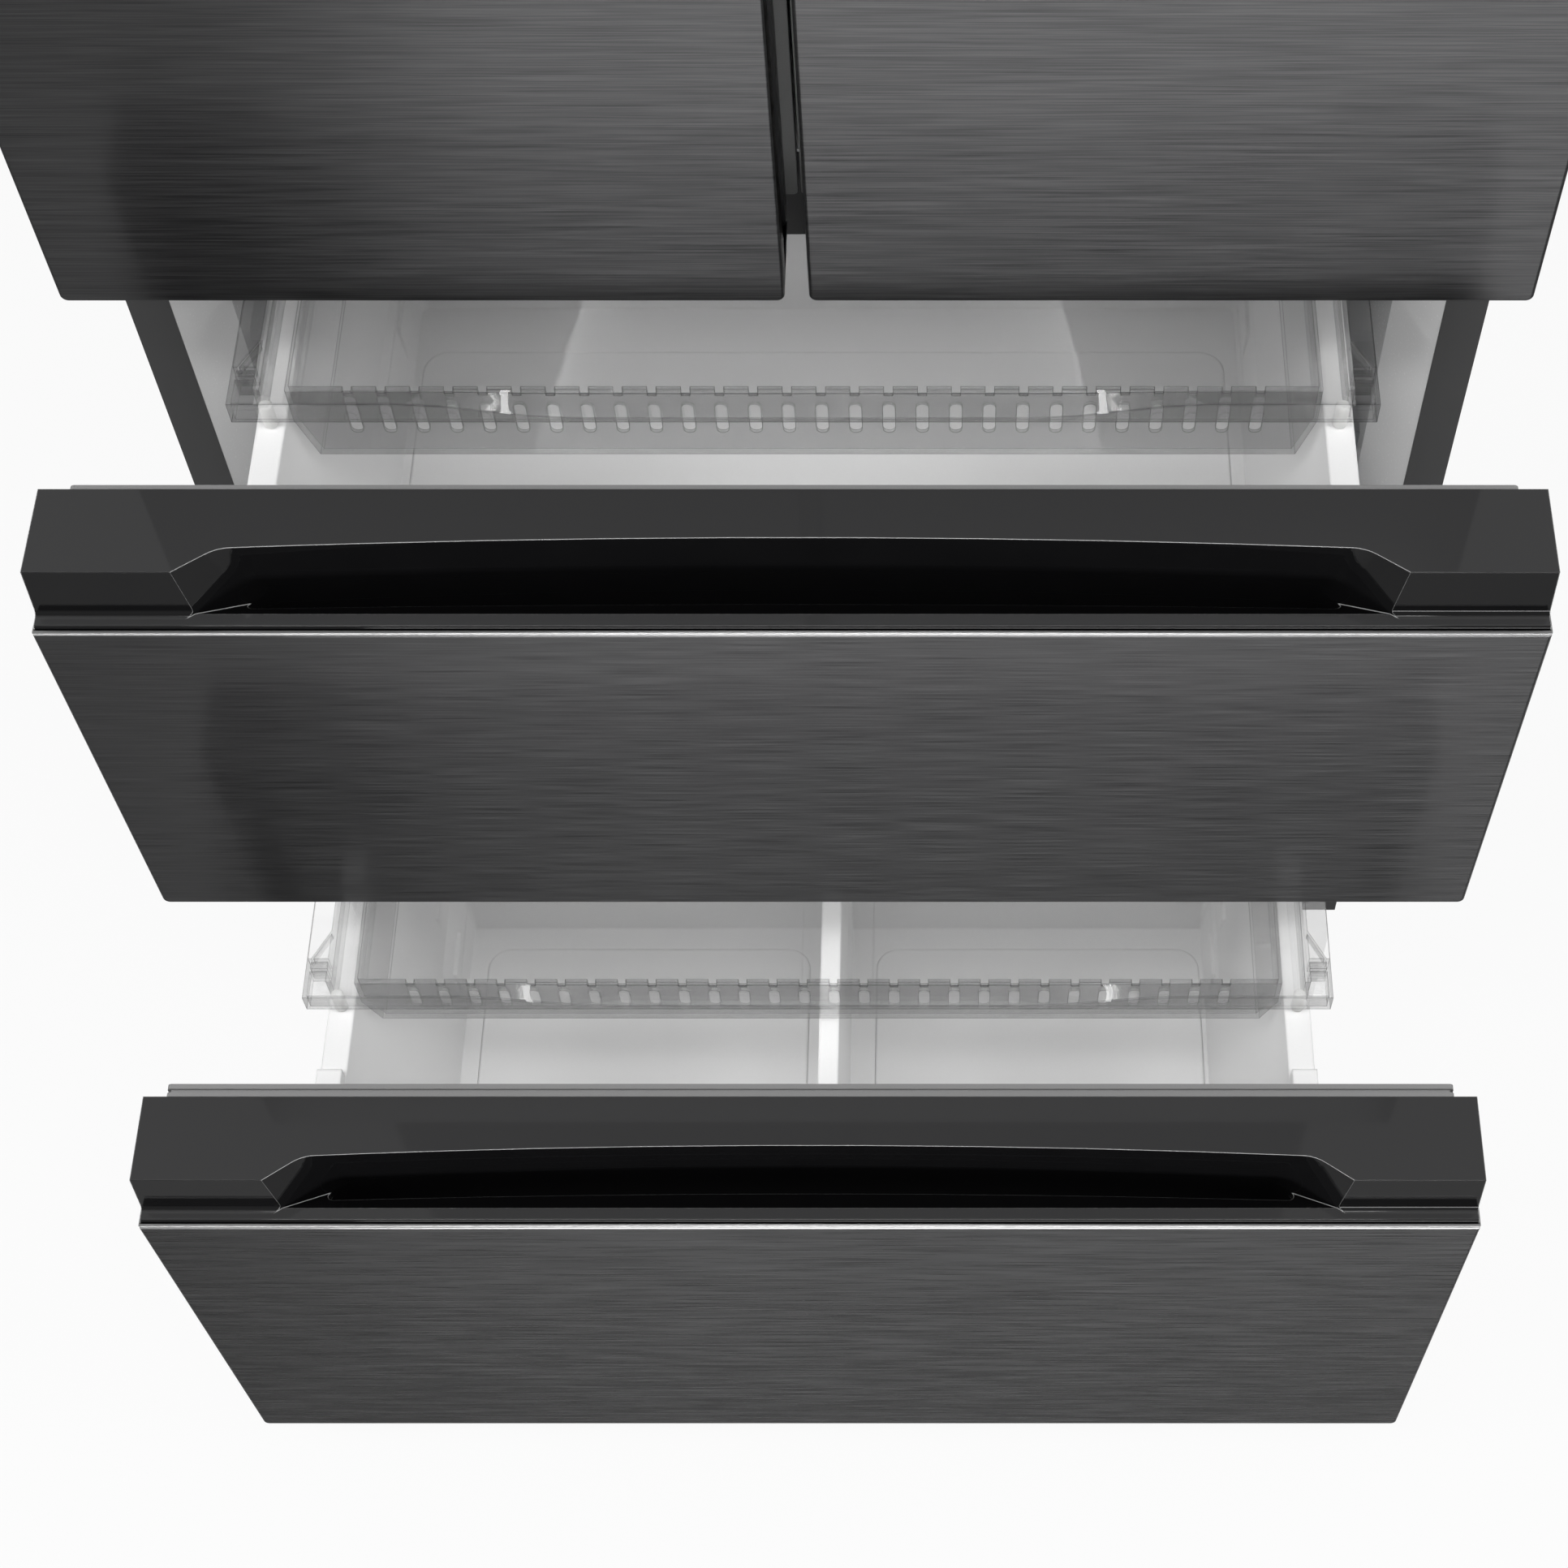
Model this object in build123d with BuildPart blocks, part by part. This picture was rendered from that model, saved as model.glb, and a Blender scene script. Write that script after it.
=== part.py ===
from build123d import *

import math
import os

os.makedirs("parts", exist_ok=True)

# Four-door fridge freezer: two hinged doors over two full-width freezer drawers, both pulled open.
# Millimetres. x runs to the right seen from the front, y from front to back, z up from the floor.

# Cabinet
cabinet_width = 907.0
front_proud = 0.5
cabinet_depth = 650.0
cabinet_top = 1765.0
cabinet_bottom = 20.0
sheet = 0.8
flange_width = 28.5
liner_wall = 2.0
liner_half = 400.0
liner_taper_depth = 45.0
back_foam = 62.0

# Fronts, counted up from the floor
front_thickness = 80.0
gasket_gap = 10.0
floor_gap = 50.0
lower_front_height = 450.0
drawer_gap = 20.0
upper_front_height = 370.0
door_gap_below = 21.5
door_top_drop = 3.0
door_split = 15.0

# How far the drawers stand open
upper_open = 207.5
lower_open = 426.0

# Compartments
freezer_floor = 85.0
freezer_ceiling = 874.0
fridge_floor = 950.0
fridge_ceiling = 1715.0
hump_top = 302.0
hump_reach = 245.0
deck_depth = 195.0
machine_room_top = 255.0

# Rails across the cabinet's mouth
rail_wall = 1.5
rail_depth = 11.8
rail_return_inset = 6.5
middle_rail_height = 54.0

# Base frame, feet and rollers
frame_bar = 30.0
frame_top = 49.8
deck_sheet = 3.0
leg_inset = 53.5
leg_setback = 45.0
leg_pad_radius = 18.0
leg_pad_height = 9.0
leg_pad_round = 1.5
leg_nut_radius = 9.0
leg_stud_radius = 5.0
roller_radius = 20.0
roller_width = 22.0
roller_axle = 4.0
roller_from_back = 40.0
bracket_plate = 3.0

# Fits and clearances
fit = 0.05
clearance = 0.3
foam_gap = 0.2
overlap = 1.0

# Pressed front panels
panel_return = 62.0
panel_corner = 5.0
panel_edge = 2.5
fold_depth = 3.2

# Drawer cap with its grip recess, measured from the steel face and down from the cap's top
cap_inset = 0.5
cap_height = 94.0
cap_setback = 18.5
cap_base_setback = 13.6
cap_front = 4.2
cap_step = 36.0
panel_drop = 38.4
cap_edge = 0.6
cap_fillet = 4.5
trim_round = 2.0
cap_wall = 3.0
recess_half_front = 365.0
recess_half_corner = 340.0
recess_corner_depth = 17.5
recess_centre_depth = 25.3
recess_end_lean = 14.4
recess_round = 24.0
lip_round = 5.0
ramp_drop = 12.0
lip_setback = 29.1
lip_thickness = 8.0
lip_undercut = 9.0
trough_depth = 87.0
cavity_end_half = 378.0
cavity_back_start = 50.0

# Drawer inner pans
pan_wall = 3.0
pan_side = 2.0
pan_step_half = 385.0
pan_step = 8.0
pan_step_rise = 42.0

# Gaskets
gasket_width = 14.0
gasket_thickness = 9.7
gasket_inset = 15.5
gasket_corner = 3.0
gasket_groove = 2.5
gasket_lip = 3.6
door_gasket_inset = 10.0
door_gasket_meet = 2.2
upper_gasket_drop = 9.0
lower_gasket_drop = 1.0
drawer_gasket_rise = 4.0

# Bins
bin_rim_drop = 100.0
bin_rim_half = 359.0
bin_inner_half = 340.0
bin_wall = 3.0
bin_draft = 5.0
bin_corner = 28.0
bin_rim_lip = 10.0
bin_front_rim = 6.0
bin_back_rim = 16.0
bin_block_length = 54.0
bin_block_height = 12.0
upper_bin_length = 470.0
upper_bin_height = 245.0
lower_bin_length = 380.0
lower_bin_height = 300.0
divider_width = 15.0
divider_offset = 5.5
divider_drop = 42.0

# Trays
tray_rim_drop = 70.0
tray_half = 372.0
tray_body_half = 336.0
tray_foot_half = 325.0
tray_wall = 2.5
tray_chamfer_start = 32.0
tray_flange = 14.0
tray_lip = 18.0
tray_runner_half = 353.0
tray_runner = 4.0
tray_block_length = 33.0
tray_block_web = 8.0
tray_brace_length = 27.0
tray_brace_height = 10.0
tray_slots = 28
tray_slot_pitch = 21.9
tray_slot_width = 8.0
tray_slot_top_share = 0.23
tray_slot_share = 0.43
tray_notch_width = 5.7
tray_notch_depth = 6.5
tray_scoop_half = 262.0
tray_scoop_flat = 150.0
tray_scoop_depth = 14.0
tray_scoop_steps = 4
upper_tray_setback = 121.0
upper_tray_length = 300.0
upper_tray_depth = 67.5
lower_tray_setback = 110.0
lower_tray_length = 230.0
lower_tray_depth = 58.5

# Telescopic slides
slide_wall = 2.0
slide_play = 0.4
slide_outer_half = 356.0
slide_outer_inside = 340.0
slide_middle_inside = 334.0
slide_inner_inside = 327.0
slide_half_height = 21.0
slide_above_bin = 40.0
slide_setback = 30.0
upper_slide_length = 430.0
lower_slide_length = 330.0
slide_ear_length = 30.0
slide_pad_length = 40.0
slide_pad_inset = 60.0

# Door hinges
hinge_half = 439.0
hinge_behind_face = 30.0
hinge_pin_radius = 5.0
hinge_pin_reach = 12.0
hinge_plate = 4.0
hinge_washer = 7.0
hinge_plate_half = 415.0
hinge_plate_reach = 55.0
hinge_cover_half = 403.0
hinge_cover_reach = 66.0
hinge_cover_height = 20.0
hinge_cover_wall = 2.5

# Doors
door_frame_width = 14.0
door_inner_wall = 3.0
grip_depth = 16.5
grip_start = 21.0
grip_wall = 2.0
ridge_free_half = 34.0
ridge_hinge_half = 408.0
ridge_width = 16.0
ridge_height = 30.0
ridge_inset = 12.0
ridge_round = 5.0
door_bin_depth = 108.0
door_bin_height = 90.0
door_bin_wall = 3.0
door_bin_corner = 20.0
door_bin_levels = (1160.0, 1345.0, 1530.0)

# Folding centre bar on the left door
bar_pivot_half = 21.0
bar_pivot_behind = 9.5
bar_radius = 9.0
bar_reach = 42.0
bar_bottom = 985.0
bar_top = 1694.0
bar_pin_radius = 3.0
bar_ear = 6.0

# Fridge compartment fittings
shelf_levels = (1150.0, 1330.0, 1505.0)
shelf_glass = 4.0
shelf_front = 118.0
shelf_back_gap = 28.0
shelf_side_gap = 2.0
shelf_bar_height = 16.0
shelf_bar_depth = 14.0
shelf_ledge = 8.0
shelf_ledge_height = 10.0
crisper_height = 182.0
crisper_front = 150.0
crisper_back_gap = 36.0
crisper_wall = 3.0
crisper_corner = 12.0
crisper_grip = 10.0
duct_half = 140.0
duct_thickness = 18.0

# Cooling system
coil_space = 83.0
cover_thickness = 6.0
fan_height = 800.0
fan_opening = 62.0
fan_radius = 55.0
fan_shaft = 3.0
fan_hub = 16.0
fan_blades = 5
fan_blade_start = 8.0
fan_blade_chord = 22.0
fan_blade_thickness = 1.6
motor_radius = 20.0
motor_length = 18.0
coil_tube = 5.0
evaporator_half = 290.0
evaporator_gap = 25.0
evaporator_z = (360.0, 580.0)
evaporator_fins = 15
evaporator_rows = 5
condenser_x = 175.0
condenser_half = 150.0
condenser_front = 165.0
condenser_back = 60.0
condenser_height = 150.0
condenser_fins = 10
condenser_rows = 4
compressor_radius = 72.0
compressor_height = 165.0
compressor_round = 30.0

# Positions that follow from the sizes
face_closed = -(gasket_gap + front_thickness)
flange_y = (gasket_gap + front_thickness + lower_open - cabinet_depth) / 2
shell_half = cabinet_width / 2
frame_half = shell_half - sheet
opening_half = shell_half - flange_width
rail_return_half = opening_half - rail_return_inset
leg_half = shell_half - leg_inset
cap_half = shell_half - cap_inset
gasket_outer_half = shell_half - gasket_inset
lower_top = floor_gap + lower_front_height
upper_bottom = lower_top + drawer_gap
upper_top = upper_bottom + upper_front_height
door_bottom = upper_top + door_gap_below
door_top = cabinet_top - door_top_drop
door_half = shell_half + front_proud
hinge_y = face_closed + hinge_behind_face
liner_depth = cabinet_depth - back_foam
liner_back = liner_depth + liner_wall
hump_front = cabinet_depth - hump_reach
cover_front = liner_depth - coil_space
shelf_back = liner_depth - shelf_back_gap
crisper_back = liner_depth - crisper_back_gap


def block(x, y, z, mode=Mode.ADD):
    """Box between two x, two y and two z values, y counted from the cabinet's front flange."""
    with Locations(((x[0] + x[1]) / 2, flange_y + (y[0] + y[1]) / 2, (z[0] + z[1]) / 2)):
        Box(abs(x[1] - x[0]), abs(y[1] - y[0]), abs(z[1] - z[0]), mode=mode)


def post(x, y, z, radius, mode=Mode.ADD):
    """Upright cylinder between two z values, y counted from the cabinet's front flange."""
    with Locations((x, flange_y + y, (z[0] + z[1]) / 2)):
        Cylinder(radius, abs(z[1] - z[0]), mode=mode)


def facing(x, y, z):
    """Plane that looks out of the front, its own x to the right and its own y up."""
    return Plane(origin=(x, flange_y + y, z), x_dir=(1, 0, 0), z_dir=(0, -1, 0))


def sideways(x, y=0.0, z=0.0):
    """Plane square to x, its own x towards the back and its own y up."""
    return Plane(origin=(x, flange_y + y, z), x_dir=(0, 1, 0), z_dir=(1, 0, 0))


def span(side, low, high):
    """The x range between two distances from the centre, on the left (-1) or the right (1)."""
    return (low, high) if side > 0 else (-high, -low)


def middle(half):
    """The x range that reaches half to each side of the centre."""
    return (-half, half)


def save(builder, name):
    """Name the finished piece and write it as its own STEP file."""
    builder.part.label = name
    export_step(builder.part, f"parts/{name}.step")


# Cabinet shell: sides, top and front flanges folded from one painted sheet
with BuildPart() as cabinet_shell:
    block(middle(shell_half), (0, cabinet_depth - sheet), (cabinet_bottom, cabinet_top))
    block(
        middle(frame_half),
        (sheet, cabinet_depth),
        (cabinet_bottom - sheet, cabinet_top - sheet),
        mode=Mode.SUBTRACT,
    )
    block(
        middle(opening_half),
        (-sheet, 2 * sheet),
        (cabinet_bottom - sheet, fridge_ceiling + liner_wall),
        mode=Mode.SUBTRACT,
    )
save(cabinet_shell, "cabinet_shell")

# Back panel: flat sheet that closes the cabinet above the compressor room
with BuildPart() as back_panel:
    block(middle(shell_half), (cabinet_depth - sheet, cabinet_depth), (machine_room_top, cabinet_top))
save(back_panel, "back_panel")

# Base frame: side rails, front cross member and the deck that carries the compressor
cross_bar_height = 12.0
leg_boss_height = 25.0
axle_y = cabinet_depth - roller_from_back
bracket_half_depth = 14.0
bracket_bottom = 10.0
bracket_inside = roller_width / 2 + clearance
cross_half = frame_half - rail_wall / 2
with BuildPart() as base_frame:
    for side in (-1, 1):
        block(
            span(side, frame_half - frame_bar, frame_half),
            (sheet, cabinet_depth - sheet),
            (frame_top - frame_bar, frame_top),
        )
        block(
            span(side, frame_half - 2 * frame_bar, frame_half - rail_wall),
            (0, cabinet_depth),
            (frame_top - frame_bar + rail_wall, frame_top - rail_wall),
            mode=Mode.SUBTRACT,
        )
    block(
        middle(cross_half),
        (leg_setback - frame_bar / 2, leg_setback + frame_bar / 2),
        (frame_top - cross_bar_height, frame_top),
    )
    block(
        middle(cross_half),
        (cabinet_depth - deck_depth, cabinet_depth - bracket_bottom),
        (frame_top - deck_sheet, frame_top),
    )
    for side in (-1, 1):
        leg_x = side * leg_half
        post(leg_x, leg_setback, (frame_top - leg_boss_height, frame_top), leg_stud_radius + 2 * deck_sheet)
        post(leg_x, leg_setback, (0, 2 * frame_top), leg_stud_radius + fit, mode=Mode.SUBTRACT)
        for hand in (-1, 1):
            plate_start = leg_x + hand * bracket_inside
            block(
                (plate_start, plate_start + hand * bracket_plate),
                (axle_y - bracket_half_depth, axle_y + bracket_half_depth),
                (bracket_bottom, frame_top),
            )
        with Locations(sideways(leg_x, axle_y, roller_radius)):
            Cylinder(roller_axle, 2 * (bracket_inside + bracket_plate))
save(base_frame, "base_frame")

# Insulation: foam blocks that fill the walls between shell and liners
foam_front = sheet + fit
foam_back = cabinet_depth - sheet - fit
foam_top = cabinet_top - sheet - fit
foam_half = frame_half - fit
foam_inner = liner_half + liner_wall
foam_bottom = frame_top + foam_gap
room_front = cabinet_depth - deck_depth - foam_gap
room_roof = machine_room_top + liner_wall
with BuildPart() as insulation:
    for side in (-1, 1):
        for low, high, reach in (
            (foam_bottom, room_roof - foam_gap, room_front),
            (room_roof, foam_top, foam_back),
        ):
            with BuildSketch(Plane.XY.offset(low)):
                with BuildLine():
                    Polyline(
                        (side * foam_half, flange_y + foam_front),
                        (side * (opening_half + liner_wall), flange_y + foam_front),
                        (side * foam_inner, flange_y + liner_taper_depth),
                        (side * foam_inner, flange_y + reach),
                        (side * foam_half, flange_y + reach),
                        close=True,
                    )
                make_face()
            extrude(amount=high - low)
    foam_middle = middle(foam_inner - foam_gap)
    behind_rail = rail_depth + foam_gap
    behind_liner = liner_back + foam_gap
    behind_hump = hump_front + liner_wall
    block(foam_middle, (foam_front, foam_back), (fridge_ceiling + liner_wall, foam_top))
    block(foam_middle, (behind_rail, liner_back), (freezer_ceiling + liner_wall, fridge_floor - liner_wall))
    block(foam_middle, (behind_liner, foam_back), (hump_top, fridge_ceiling + liner_wall - foam_gap))
    block(foam_middle, (behind_hump, foam_back), (room_roof, hump_top - liner_wall))
    block(foam_middle, (behind_hump, room_front), (freezer_floor, room_roof - foam_gap))
    block(foam_middle, (behind_rail, room_front), (foam_bottom, freezer_floor - liner_wall))
save(insulation, "insulation")


def compartment(low, high, grow, front, mode):
    """Compartment with splayed side walls at its mouth, grown outwards on every side by grow."""
    mouth = opening_half + grow
    inner = liner_half + grow
    with BuildSketch(Plane.XY.offset(low)) as plan:
        with BuildLine():
            Polyline(
                (-mouth, flange_y + front),
                (mouth, flange_y + front),
                (mouth, flange_y + foam_front),
                (inner, flange_y + liner_taper_depth),
                (inner, flange_y + liner_depth + grow),
                (-inner, flange_y + liner_depth + grow),
                (-inner, flange_y + liner_taper_depth),
                (-mouth, flange_y + foam_front),
                close=True,
            )
        make_face()
    extrude(plan.sketch, amount=high - low, mode=mode)


# Fridge liner: white moulded tub with shelf ledges and the cam block that turns the centre bar
cam_block = ((-10.0, 22.0), (26.0, 46.0))
cam_height = 18.0
shelf_drop = shelf_glass + liner_wall
with BuildPart() as fridge_liner:
    compartment(
        fridge_floor - liner_wall, fridge_ceiling + liner_wall, liner_wall, foam_front - fit, Mode.ADD
    )
    compartment(fridge_floor, fridge_ceiling, 0, -liner_wall, Mode.SUBTRACT)
    for level in shelf_levels:
        for side in (-1, 1):
            block(
                span(side, liner_half - shelf_ledge, liner_half + liner_wall / 2),
                (shelf_front + shelf_ledge_height, liner_depth - duct_thickness),
                (level - shelf_drop - shelf_ledge_height, level - shelf_drop),
            )
    block(cam_block[0], cam_block[1], (fridge_ceiling - cam_height, fridge_ceiling + liner_wall / 2))
save(fridge_liner, "fridge_liner")

# Freezer liner: one white tub with a hump over the compressor room
with BuildPart() as freezer_liner:
    compartment(
        freezer_floor - liner_wall, freezer_ceiling + liner_wall, liner_wall, foam_front - fit, Mode.ADD
    )
    compartment(freezer_floor, freezer_ceiling, 0, -liner_wall, Mode.SUBTRACT)
    block(middle(foam_inner), (hump_front, liner_back), (freezer_floor - liner_wall, hump_top))
    block(
        middle(foam_inner + liner_wall),
        (hump_front + liner_wall, liner_back + liner_wall),
        (freezer_floor - 2 * liner_wall, hump_top - liner_wall),
        mode=Mode.SUBTRACT,
    )
    block(
        middle(opening_half + 2 * liner_wall),
        (-liner_wall, rail_depth + foam_gap),
        (freezer_ceiling, freezer_ceiling + 2 * liner_wall),
        mode=Mode.SUBTRACT,
    )
save(freezer_liner, "freezer_liner")

# Cross rails: folded channels above the freezer, between the drawers and below the lower drawer
middle_rail_z = upper_bottom - drawer_gap / 2
rail_heights = (
    (freezer_ceiling, fridge_floor - liner_wall),
    (middle_rail_z - middle_rail_height / 2, middle_rail_z + middle_rail_height / 2),
    (foam_bottom, freezer_floor - liner_wall),
)
with BuildPart() as cross_rails:
    for low, high in rail_heights:
        block(middle(opening_half), (0, sheet), (low, high))
        block(middle(rail_return_half), (0, rail_depth), (low, low + rail_wall))
        block(middle(rail_return_half), (0, rail_depth), (high - rail_wall, high))
save(cross_rails, "cross_rails")

# Hinges: top and middle brackets bent from plate, with the pivot pins pressed in
hinge_front = hinge_y - hinge_pin_reach
hinge_edge_half = shell_half - hinge_plate
washer_radius = 2 * hinge_pin_radius
middle_plate_z = door_bottom - hinge_washer - hinge_plate
with BuildPart() as hinges:
    for side in (-1, 1):
        pin_x = side * hinge_half
        plate_x = span(side, hinge_plate_half, hinge_edge_half)
        block(plate_x, (hinge_front, hinge_plate_reach), (cabinet_top, cabinet_top + hinge_plate))
        post(pin_x, hinge_y, (door_top - hinge_pin_reach, cabinet_top + hinge_plate), hinge_pin_radius)
        block(plate_x, (hinge_front, 0), (middle_plate_z, middle_plate_z + hinge_plate))
        block(plate_x, (-hinge_plate, 0), (upper_top - hinge_plate, door_bottom + hinge_plate))
        post(pin_x, hinge_y, (middle_plate_z, door_bottom + hinge_pin_reach), hinge_pin_radius)
        post(pin_x, hinge_y, (middle_plate_z, door_bottom - clearance), washer_radius)
save(hinges, "hinges")

# Hinge covers: moulded caps over the top brackets
cover_corner = 6.0
with BuildPart() as hinge_covers:
    for side in (-1, 1):
        block(
            span(side, hinge_cover_half, shell_half),
            (face_closed + hinge_pin_reach, hinge_cover_reach),
            (cabinet_top, cabinet_top + hinge_cover_height),
        )
    fillet(hinge_covers.edges().filter_by(Axis.Z), cover_corner)
    fillet(hinge_covers.faces().filter_by(Axis.Z).group_by(Axis.Z)[-1].edges(), cover_corner / 2)
    for side in (-1, 1):
        block(
            span(side, hinge_cover_half + hinge_cover_wall, shell_half - hinge_cover_wall),
            (face_closed + hinge_pin_reach + hinge_cover_wall, hinge_cover_reach - hinge_cover_wall),
            (cabinet_top - hinge_cover_wall, cabinet_top + hinge_cover_height - hinge_cover_wall),
            mode=Mode.SUBTRACT,
        )
save(hinge_covers, "hinge_covers")

# Levelling legs: screw feet at the front corners
with BuildPart() as levelling_legs:
    for side in (-1, 1):
        post(side * leg_half, leg_setback, (0, leg_pad_height), leg_pad_radius)
    fillet(levelling_legs.edges().filter_by(GeomType.CIRCLE), leg_pad_round)
    for side in (-1, 1):
        post(side * leg_half, leg_setback, (0, leg_pad_height + leg_stud_radius), leg_nut_radius)
        post(side * leg_half, leg_setback, (0, frame_top), leg_stud_radius)
save(levelling_legs, "levelling_legs")


def roller(side, name):
    """Rear roller with its bore; side is -1 for the left one and 1 for the right one."""
    with BuildPart(sideways(side * leg_half, axle_y, roller_radius)) as wheel:
        Cylinder(roller_radius, roller_width)
        fillet(wheel.edges().filter_by(GeomType.CIRCLE), roller_axle / 2)
        Cylinder(roller_axle + fit, roller_width, mode=Mode.SUBTRACT)
    save(wheel, name)


roller(-1, "rear_roller_left")
roller(1, "rear_roller_right")

# Kick plate: dark grille under the lower drawer, clipped to the front cross member
kick_half = 447.0
kick_front = -22.0
kick_thickness = 4.0
kick_bottom = 6.0
kick_slots = 22
kick_slot = (28.0, 7.0)
kick_tab = (12.0, 4.0)
with BuildPart() as kick_plate:
    block(
        middle(kick_half),
        (kick_front, kick_front + kick_thickness),
        (kick_bottom, floor_gap - kick_tab[1]),
    )
    for tab_x in (-opening_half + frame_bar, 0, opening_half - frame_bar):
        block(
            (tab_x - kick_tab[0], tab_x + kick_tab[0]),
            (kick_front + kick_thickness / 2, leg_setback - frame_bar / 2),
            (frame_top - cross_bar_height, frame_top - cross_bar_height + kick_tab[1]),
        )
    with BuildSketch(facing(0, kick_front, (kick_bottom + frame_top - cross_bar_height) / 2)):
        with GridLocations(2 * kick_half / (kick_slots + 1), 1, kick_slots, 1):
            SlotOverall(kick_slot[0], kick_slot[1])
    extrude(amount=-2 * kick_thickness, mode=Mode.SUBTRACT)
save(kick_plate, "kick_plate")

# Machine cover: slotted panel over the compressor room, with the supply cord's gland hole
machine_inset = 6.0
machine_y = cabinet_depth - machine_inset
machine_sheet = 2.0
machine_centre_z = (foam_bottom + machine_room_top) / 2
vent_slot = (44.0, 8.0)
vent_pitch = (40.0, 60.0)
vent_count = (16, 3)
gland_x = 380.0
gland_radius = 11.0
gland_neck = 8.0
gland_bore = 4.5
with BuildPart() as machine_cover:
    block(
        middle(frame_half - clearance),
        (machine_y, machine_y + machine_sheet),
        (foam_bottom, machine_room_top - foam_gap),
    )
    with BuildSketch(facing(0, machine_y, machine_centre_z)):
        with GridLocations(*vent_pitch, *vent_count):
            SlotOverall(vent_slot[0], vent_slot[1], rotation=90)
        with Locations((gland_x, 0)):
            Circle(gland_neck)
    extrude(amount=-2 * machine_sheet, mode=Mode.SUBTRACT)
save(machine_cover, "machine_cover")

# Cord gland: grommet in the machine cover that the supply cord leaves through
gland_length = 8.0
with BuildPart(facing(gland_x, machine_y + machine_sheet / 2, machine_centre_z)) as cord_gland:
    Cylinder(gland_radius, gland_length)
    Cylinder(gland_radius, machine_sheet, mode=Mode.SUBTRACT)
    Cylinder(gland_neck, gland_length)
    Cylinder(gland_bore, gland_length, mode=Mode.SUBTRACT)
save(cord_gland, "cord_gland")

# Compressor: welded pot on a foot plate with four rubber mounts
compressor_x = -180.0
compressor_shift = 10.0
compressor_y = cabinet_depth - deck_depth / 2 - compressor_shift
foot_plate = (190.0, 110.0)
mount_radius = 11.0
mount_height = 13.0
start_box = (40.0, 50.0, 30.0)
suction_stub = 70.0
with BuildPart() as compressor:
    pot_bottom = frame_top + mount_height + 2 * deck_sheet
    post(compressor_x, compressor_y, (pot_bottom, frame_top + compressor_height), compressor_radius)
    fillet(compressor.edges().filter_by(GeomType.CIRCLE), compressor_round)
    post(
        compressor_x,
        compressor_y,
        (frame_top + mount_height, pot_bottom + frame_bar),
        compressor_radius / 2,
    )
    block(
        (compressor_x - foot_plate[0] / 2, compressor_x + foot_plate[0] / 2),
        (compressor_y - foot_plate[1] / 2, compressor_y + foot_plate[1] / 2),
        (frame_top + mount_height - deck_sheet, frame_top + mount_height),
    )
    with Locations((compressor_x, flange_y + compressor_y, frame_top + mount_height / 2)):
        with GridLocations(foot_plate[0] - 3 * mount_radius, foot_plate[1] - 3 * mount_radius, 2, 2):
            Cylinder(mount_radius, mount_height)
    pot_side = sideways(
        compressor_x + compressor_radius, compressor_y, frame_top + compressor_height / 2
    )
    with Locations(pot_side):
        Box(*start_box)
        Cylinder(roller_axle, suction_stub)
save(compressor, "compressor")


def finned_coil(centre_x, half, y, z, fins, rows, name):
    """Straight tubes through a row of fins."""
    depth = y[1] - y[0]
    height = z[1] - z[0]
    with BuildPart(sideways(centre_x, (y[0] + y[1]) / 2, (z[0] + z[1]) / 2)) as coil:
        for fin in range(fins):
            with Locations((0, 0, -half + 2 * half * fin / (fins - 1))):
                Box(depth, height, rail_wall)
        with GridLocations(depth / 2, height / rows, 2, rows):
            Cylinder(coil_tube, 2 * half + 6 * coil_tube)
    save(coil, name)


finned_coil(
    0,
    evaporator_half,
    (cover_front + evaporator_gap, liner_depth),
    evaporator_z,
    evaporator_fins,
    evaporator_rows,
    "evaporator",
)
finned_coil(
    condenser_x,
    condenser_half,
    (cabinet_depth - condenser_front, cabinet_depth - condenser_back),
    (frame_top, frame_top + condenser_height),
    condenser_fins,
    condenser_rows,
    "condenser",
)

# Evaporator cover: freezer back wall with air slots, fan opening and the motor on three arms
air_slot = (46.0, 8.0)
air_slot_pitch = (60.0, 70.0)
air_slot_count = (11, 3)
motor_arms = 3
air_slots_z = 470.0
fan_plane = facing(0, cover_front + cover_thickness / 2, fan_height)
arm_length = fan_opening - motor_radius / 2 + cover_thickness
with BuildPart() as evaporator_cover:
    block(middle(liner_half), (cover_front, cover_front + cover_thickness), (hump_top, freezer_ceiling))
    with Locations(fan_plane):
        Cylinder(fan_opening, 2 * cover_thickness, mode=Mode.SUBTRACT)
    with BuildSketch(facing(0, cover_front, air_slots_z)):
        with GridLocations(*air_slot_pitch, *air_slot_count):
            SlotOverall(air_slot[0], air_slot[1])
    extrude(amount=-2 * cover_thickness, mode=Mode.SUBTRACT)
    with Locations(fan_plane):
        with PolarLocations(motor_radius / 2 + arm_length / 2, motor_arms, start_angle=90):
            Box(arm_length, cover_thickness, cover_thickness)
    with Locations(facing(0, cover_front + motor_length / 2, fan_height)):
        Cylinder(motor_radius, motor_length)
    with Locations(facing(0, cover_front + motor_length, fan_height)):
        Cylinder(fan_shaft + fit, motor_length, mode=Mode.SUBTRACT)
save(evaporator_cover, "evaporator_cover")

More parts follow.
